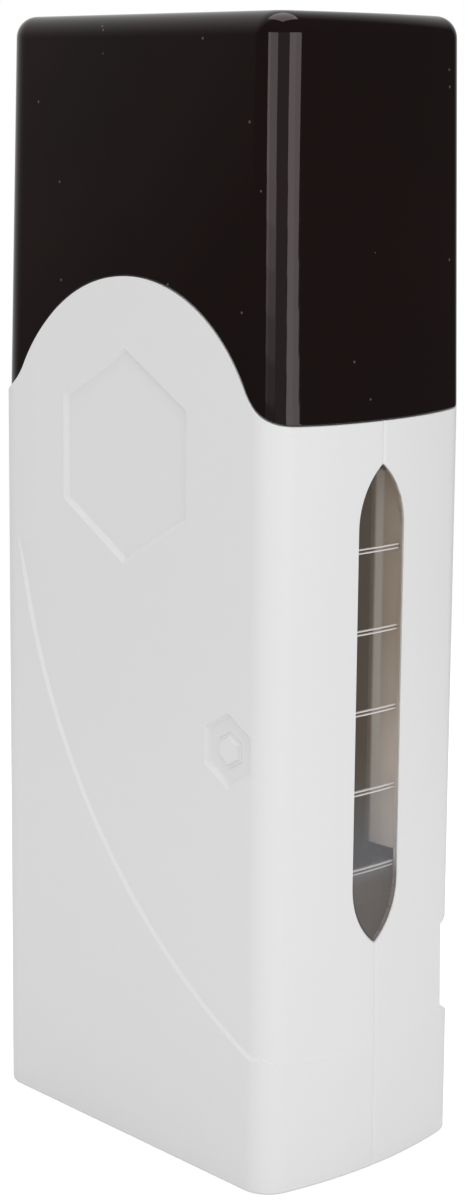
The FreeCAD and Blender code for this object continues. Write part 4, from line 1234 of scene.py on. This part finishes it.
class WARMER_OT_key(bpy.types.Operator):
    """Model the hexagonal power key"""

    bl_idname = "warmer.key"
    bl_label = "Power key"

    def execute(self, context):
        sizes = shape()
        y, z = key_place()
        flange = (KEY_HIGH.z - KEY_LOW.z) / 2
        stem = hexagon_corner(sizes.button_flats)
        shoulder = KEY_HIGH.x - sizes.button_flange
        well_floor = sizes.button_well_depth - set_back_x(z)
        edge = sizes.button_lip
        rim = well_floor - edge
        top = hexagon_corner(sizes.button_top_flats)
        profile = [
            (flange, KEY_HIGH.x),
            (flange, shoulder),
            (stem, shoulder),
            (stem, well_floor),
            (stem - edge, rim),
            (top + sizes.button_slope, rim),
            (top + edge, KEY_LOW.x + edge / 2),
            (top, KEY_LOW.x),
        ]
        key = loft("power_key_white", [hexagon_ring(radius, x, y, z) for radius, x in profile])
        smooth(key)
        hand_over(key, "button", "power_button", "key_finish")
        return {"FINISHED"}


class WARMER_OT_finishes(bpy.types.Operator):
    """Make the materials and dress the solids that stay as they are"""

    bl_idname = "warmer.finishes"
    bl_label = "Finishes"

    # Lowest and highest roughness of the solids that stay as they are, by their class in the record
    plastics = {
        "gloss_plastic": (0.14, 0.24),
        "matte_plastic": (0.42, 0.58),
        "rubber": (0.38, 0.52),
    }
    metals = {
        "aluminium": (0.26, 0.42),
        "brushed_steel": (0.22, 0.36),
        "brass": (0.24, 0.40),
    }

    def execute(self, context):
        build_moulded_surface()
        build_dust_specks()
        build_drawn_metal()
        self.outer_finishes()
        # Material that paints light and shade on the ribs behind the window
        self.rib_painted_tones()
        self.inner_finishes()
        for name, solid in frame["nodes"].items():
            solid.data.materials.clear()
            solid.data.materials.append(bpy.data.materials[f"{NODE_SLOTS[name]}_inner"])
        foot = frame["nodes"]["well_foot"]
        foot.data.materials[0] = bpy.data.materials["foot_finish"]
        return {"FINISHED"}

    def outer_finishes(self):
        """Finishes of the pieces that show from outside."""
        colours = finish()
        white, duller = colours.shell_white, colours.shell_shade
        moulded("shell_finish", white, duller, roughness=(0.34, 0.44), grain=2600, depth=0.000012)
        moulded("key_finish", white, duller, roughness=(0.30, 0.38), grain=2600, depth=0.000008)
        cap = moulded(
            "cap_finish", colours.cap_brown, colours.cap_glow, roughness=(0.02, 0.05), grain=900,
            depth=0.0000004, Specular_Tint=(*colours.cap_gloss, 1))
        dusty(cap, scale=260, size=0.065, share=0.5, dust=colours.cap_dust)
        smoke = colours.lens_smoke
        lens = moulded(
            "lens_finish", smoke, shade_of(smoke, 0.8), roughness=(0.03, 0.07), grain=700, depth=0.0000004)
        dusty(lens, scale=500, size=0.05, share=0.3, dust=colours.lens_dust)
        self.haze(lens)
        grey = colours.foot_grey
        moulded("foot_finish", grey, shade_of(grey, 0.9), roughness=(0.4, 0.55), grain=1800, depth=0.00001)
        # The level marks get a white that paints the glints on their clear edges
        white = colours.mark_painted_glint
        moulded("mark_glint_finish", white, shade_of(white, 0.94), roughness=(0.1, 0.2), grain=900, depth=0.000001)

    def haze(self, lens):
        """Lays a grey haze over the lower part of the lens and a denser brown one over its foot."""
        colours = finish()
        sizes = shape()
        tree = lens.node_tree
        shader = tree.nodes["Principled BSDF"]
        low = sizes.window_low + sizes.rib_rise
        layers = [
            (colours.haze_grey, low + sizes.haze_fade, low, colours.haze_cloud),
            (colours.foot_brown, low, low - sizes.foot_fade, colours.foot_cloud),
        ]
        below = None
        for tone, start, end, density in layers:
            share = graded(lens, "Z", tone, start, end)
            cloud = node(tree, "ShaderNodeMapRange", To_Min=colours.lens_cloud, To_Max=density)
            tree.links.new(share, cloud.inputs["Value"])
            if below:
                tree.links.new(below, cloud.inputs["To Min"])
            below = cloud.outputs["Result"]
        tree.links.new(below, shader.inputs["Alpha"])

    def rib_painted_tones(self):
        """Painted light and shade on the ribs: a dim warm beige that paints their shade behind the tinted
        lens, a painted light at their foot, a painted light stripe and painted shade at their deep end.
        """
        colours = finish()
        sizes = shape()
        beige = colours.rib_shaded_beige
        ribs = moulded(
            "rib_painted_tones", beige, shade_of(beige, 0.92), roughness=(0.35, 0.5), grain=2600, depth=0.000012)
        foot = sizes.window_low + sizes.rib_rise
        # Painted light at the ribs' foot
        graded(ribs, "Z", colours.rib_painted_foot_light, foot + sizes.rib_pale_high, foot + sizes.rib_pale_low)
        front = sizes.wall - HOUSING_HIGH.y
        # A painted light stripe on the ribs, then painted shade at their deep end
        for tone, depth in ((colours.rib_painted_light, sizes.rib_stripe), (colours.rib_painted_shade, sizes.rib_dark)):
            graded(ribs, "Y", tone, front + depth, front + depth + sizes.rib_soft)

    def inner_finishes(self):
        """Finishes of the solids that stay as they are, from their class in the record."""
        for row in frame["record"]["materials"]:
            name = f"{row['slot']}_inner"
            # The heating well's metal gets a dark brown instead of its own colour, painting the shade deep
            # inside the housing
            base = finish().well_shaded_brown if row["slot"] == "well_metal" else row["base_color"]
            if row["class"] in self.metals:
                roughness = self.metals[row["class"]]
                along = (1, 1, 0.04)
                drawn(name, base, shade_of(base, 0.8), roughness, grain=2200, depth=0.000004, stretch=along)
            else:
                roughness = self.plastics[row["class"]]
                moulded(name, base, shade_of(base, 0.85), roughness, grain=1800, depth=0.00001)
        track = shade_of(RECORD_COLOURS["board"], 2.2)
        tracked(bpy.data.materials["board_inner"], scale=260, width=0.05, track=track)
        fleck = shade_of(RECORD_COLOURS["stone"], 1.6)
        dusty(bpy.data.materials["stone_inner"], scale=900, size=0.2, share=0.4, dust=fleck)


class WARMER_OT_stage(bpy.types.Operator):
    """Set up the floor, the lights and the camera"""

    bl_idname = "warmer.stage"
    bl_label = "Studio stage"

    # Upright lights: name, turns in degrees of their two sides from the wide face towards the front, lower
    # end, upper end, height over which the lower end fades, brightness, whether glossy faces mirror them, and
    # whether the second side leans less than the first
    strips = (
        ("left_edge", -3, 5, 0.08, 0.44, 0.11, 2.1, True, False),
        ("left_strip", 5, 30, 0.08, 0.44, 0.11, 1.6, True, False),
        ("left_glow", 30, 66, 0.08, 0.44, 0, 0.23, True, False),
        ("front_strip", 68, 90, 0.07, 0.36, 0, 2.1, True, False),
        ("front_edge", 90, 108.5, 0.07, 0.36, 0, 1.8, True, True),
        ("front_fill", 45, 90, 0.0, 0.30, 0, 0.16, False, False),
    )

    def execute(self, context):
        self.floor()
        self.surround()
        for row in self.strips:
            for part in self.slices(*row):
                self.softbox(*part)
        self.overhead()
        self.camera(context)
        context.scene.view_settings.view_transform = "Standard"
        return {"FINISHED"}

    def floor(self):
        """Round white floor."""
        clear_selection()
        bpy.ops.mesh.primitive_circle_add(vertices=FLOOR_STEPS, radius=stage().floor_radius, fill_type="NGON")
        ground = bpy.context.object
        ground.name = "studio_floor"
        white = stage().floor_white
        material = moulded(
            "studio_floor", white, shade_of(white, 0.98), roughness=(0.8, 0.9), grain=400, depth=0.00001)
        self.fade_out(material)
        ground.data.materials.append(material)

    def fade_out(self, material):
        """Lets the floor fade into the backdrop towards its edge."""
        values = stage()
        tree = material.node_tree
        shader = tree.nodes["Principled BSDF"]
        shader.inputs["Specular IOR Level"].default_value = 0.0
        shader.inputs["Emission Color"].default_value = (1, 1, 1, 1)
        path = tree.nodes.new("ShaderNodeLightPath")
        glow = math_node(tree, "MULTIPLY", values.floor_glow)
        reach = tree.nodes.new("ShaderNodeVectorMath")
        reach.operation = "LENGTH"
        start = values.floor_fade_start * values.floor_radius
        end = values.floor_fade_end * values.floor_radius
        fade = node(tree, "ShaderNodeMapRange", From_Min=start, From_Max=end, To_Min=1.0, To_Max=0.0)
        fade.interpolation_type = "SMOOTHSTEP"
        link(
            tree,
            (path.outputs["Is Camera Ray"], glow.inputs[0]),
            (glow.outputs[0], shader.inputs["Emission Strength"]),
            (place_of(tree).outputs["Object"], reach.inputs[0]),
            (reach.outputs["Value"], fade.inputs["Value"]),
            (fade.outputs["Result"], shader.inputs["Alpha"]),
        )

    def surround(self):
        """White room: what is seen, what lights the part and what glossy faces mirror."""
        values = stage()
        world = bpy.data.worlds.new("studio")
        world.use_nodes = True
        world.cycles.sampling_method = "NONE"
        bpy.context.scene.world = world
        tree = world.node_tree
        background = tree.nodes["Background"]
        background.inputs["Color"].default_value = (1, 1, 1, 1)
        path = tree.nodes.new("ShaderNodeLightPath")
        mirrored = node(tree, "ShaderNodeMapRange", To_Min=values.ambient)
        seen = node(tree, "ShaderNodeMapRange", To_Max=values.backdrop)
        room = tree.nodes.new("ShaderNodeTexCoord")
        facing = tree.nodes.new("ShaderNodeVectorMath")
        facing.operation = "DOT_PRODUCT"
        behind_turn = values.azimuth + values.backdrop_turn + math.pi
        facing.inputs[1].default_value = way_to(behind_turn, values.backdrop_tilt)
        behind = node(
            tree, "ShaderNodeMapRange",
            From_Min=values.gloss_start, From_Max=values.gloss_end, To_Min=values.gloss_surround)
        link(
            tree,
            (room.outputs["Generated"], facing.inputs[0]),
            (facing.outputs["Value"], behind.inputs["Value"]),
            (behind.outputs["Result"], mirrored.inputs["To Max"]),
            (path.outputs["Is Glossy Ray"], mirrored.inputs["Value"]),
            (path.outputs["Is Camera Ray"], seen.inputs["Value"]),
            (mirrored.outputs["Result"], seen.inputs["To Min"]),
            (seen.outputs["Result"], background.inputs["Strength"]),
        )

    def slices(self, name, first, last, low, high, fade, brightness, mirrored, less_lean):
        """Parts of an upright light: upper ones, and slices that turn to the front and may fade downwards."""
        values = stage()
        knee = values.light_knee
        top = high
        if mirrored:
            top = values.light_mirror_top
            yield f"{name}_top", first, last, top, high, brightness, False
        yield name, first, last, knee, top, brightness, mirrored
        last_lean = values.light_edge_lean if less_lean else values.light_lean
        step = (knee - low) / LIGHT_SLICES
        for k in range(LIGHT_SLICES):
            bottom = low + k * step
            middle = bottom + step / 2
            start = first + values.light_lean * (knee - middle)
            end = last + last_lean * (knee - middle)
            share = min((middle - low) / fade, 1) if fade else 1
            yield f"{name}_{k}", start, end, bottom, bottom + step, brightness * share, mirrored

    def area_light(self, name, place, width, height, brightness):
        """Soft light over a rectangle, which shines down until it is turned."""
        clear_selection()
        bpy.ops.object.light_add(type="AREA", location=place)
        light = bpy.context.object
        light.name = name
        light.data.shape = "RECTANGLE"
        light.data.size = width
        light.data.size_y = height
        light.data.energy = brightness * math.pi * width * height
        return light

    def softbox(self, name, first, last, low, high, brightness, mirrored):
        """Upright light between two turns from the wide face towards the front, and between two heights."""
        values = stage()
        around = math.radians((first + last) / 2)
        width = 2 * values.light_distance * math.tan(math.radians(last - first) / 2)
        way = Vector((-math.cos(around), -math.sin(around), 0))
        corner = Vector((-HOUSING_HIGH.x, -HOUSING_HIGH.y, 0)) * values.light_aim
        place = corner + way * values.light_distance + Vector((0, 0, (low + high) / 2))
        light = self.area_light(name, place, width, high - low, brightness)
        light.rotation_euler = way.to_track_quat("Z", "Y").to_euler()
        light.visible_glossy = mirrored

    def overhead(self):
        """Wide soft light over the part."""
        values = stage()
        width = values.overhead_width
        self.area_light("overhead", (0, 0, values.overhead_height), width, width, values.overhead_brightness)

    def camera(self, context):
        """Camera that sees the wide face and the window."""
        values = stage()
        way = way_to(values.azimuth, values.elevation)
        clear_selection()
        bpy.ops.object.camera_add()
        camera = bpy.context.object
        turn = way.to_track_quat("Z", "Y").to_matrix().to_4x4() @ Matrix.Rotation(values.roll, 4, "Z")
        camera.matrix_world = Matrix.Translation(Vector(values.target) + values.distance * way) @ turn
        camera.data.lens = values.lens
        camera.data.sensor_width = values.sensor
        camera.data.dof.use_dof = False
        context.scene.camera = camera


class WARMER_PT_panel(bpy.types.Panel):
    """Sidebar panel that lists the pieces"""

    bl_idname = "WARMER_PT_panel"
    bl_label = "Wax warmer"
    bl_space_type = "VIEW_3D"
    bl_region_type = "UI"
    bl_category = "Warmer"

    def draw(self, context):
        for operator in OPERATORS:
            self.layout.operator(operator.bl_idname)


GROUPS = {
    "warmer_shape": WarmerShape,
    "warmer_finish": WarmerFinish,
    "warmer_stage": WarmerStage,
}
OPERATORS = (
    WARMER_OT_finishes,
    WARMER_OT_cap,
    WARMER_OT_shells,
    WARMER_OT_window,
    WARMER_OT_key,
    WARMER_OT_stage,
)
CLASSES = (*GROUPS.values(), *OPERATORS, WARMER_PT_panel)


def register():
    for item in CLASSES:
        bpy.utils.register_class(item)
    for name, group in GROUPS.items():
        setattr(bpy.types.Scene, name, bpy.props.PointerProperty(type=group))


def unregister():
    for name in GROUPS:
        delattr(bpy.types.Scene, name)
    for item in reversed(CLASSES):
        bpy.utils.unregister_class(item)


def main():
    register()
    bpy.ops.warmer.finishes()
    bpy.ops.warmer.cap()
    bpy.ops.warmer.shells()
    bpy.ops.warmer.window()
    bpy.ops.warmer.key()
    bpy.ops.warmer.stage()


if __name__ == "__main__":
    main()
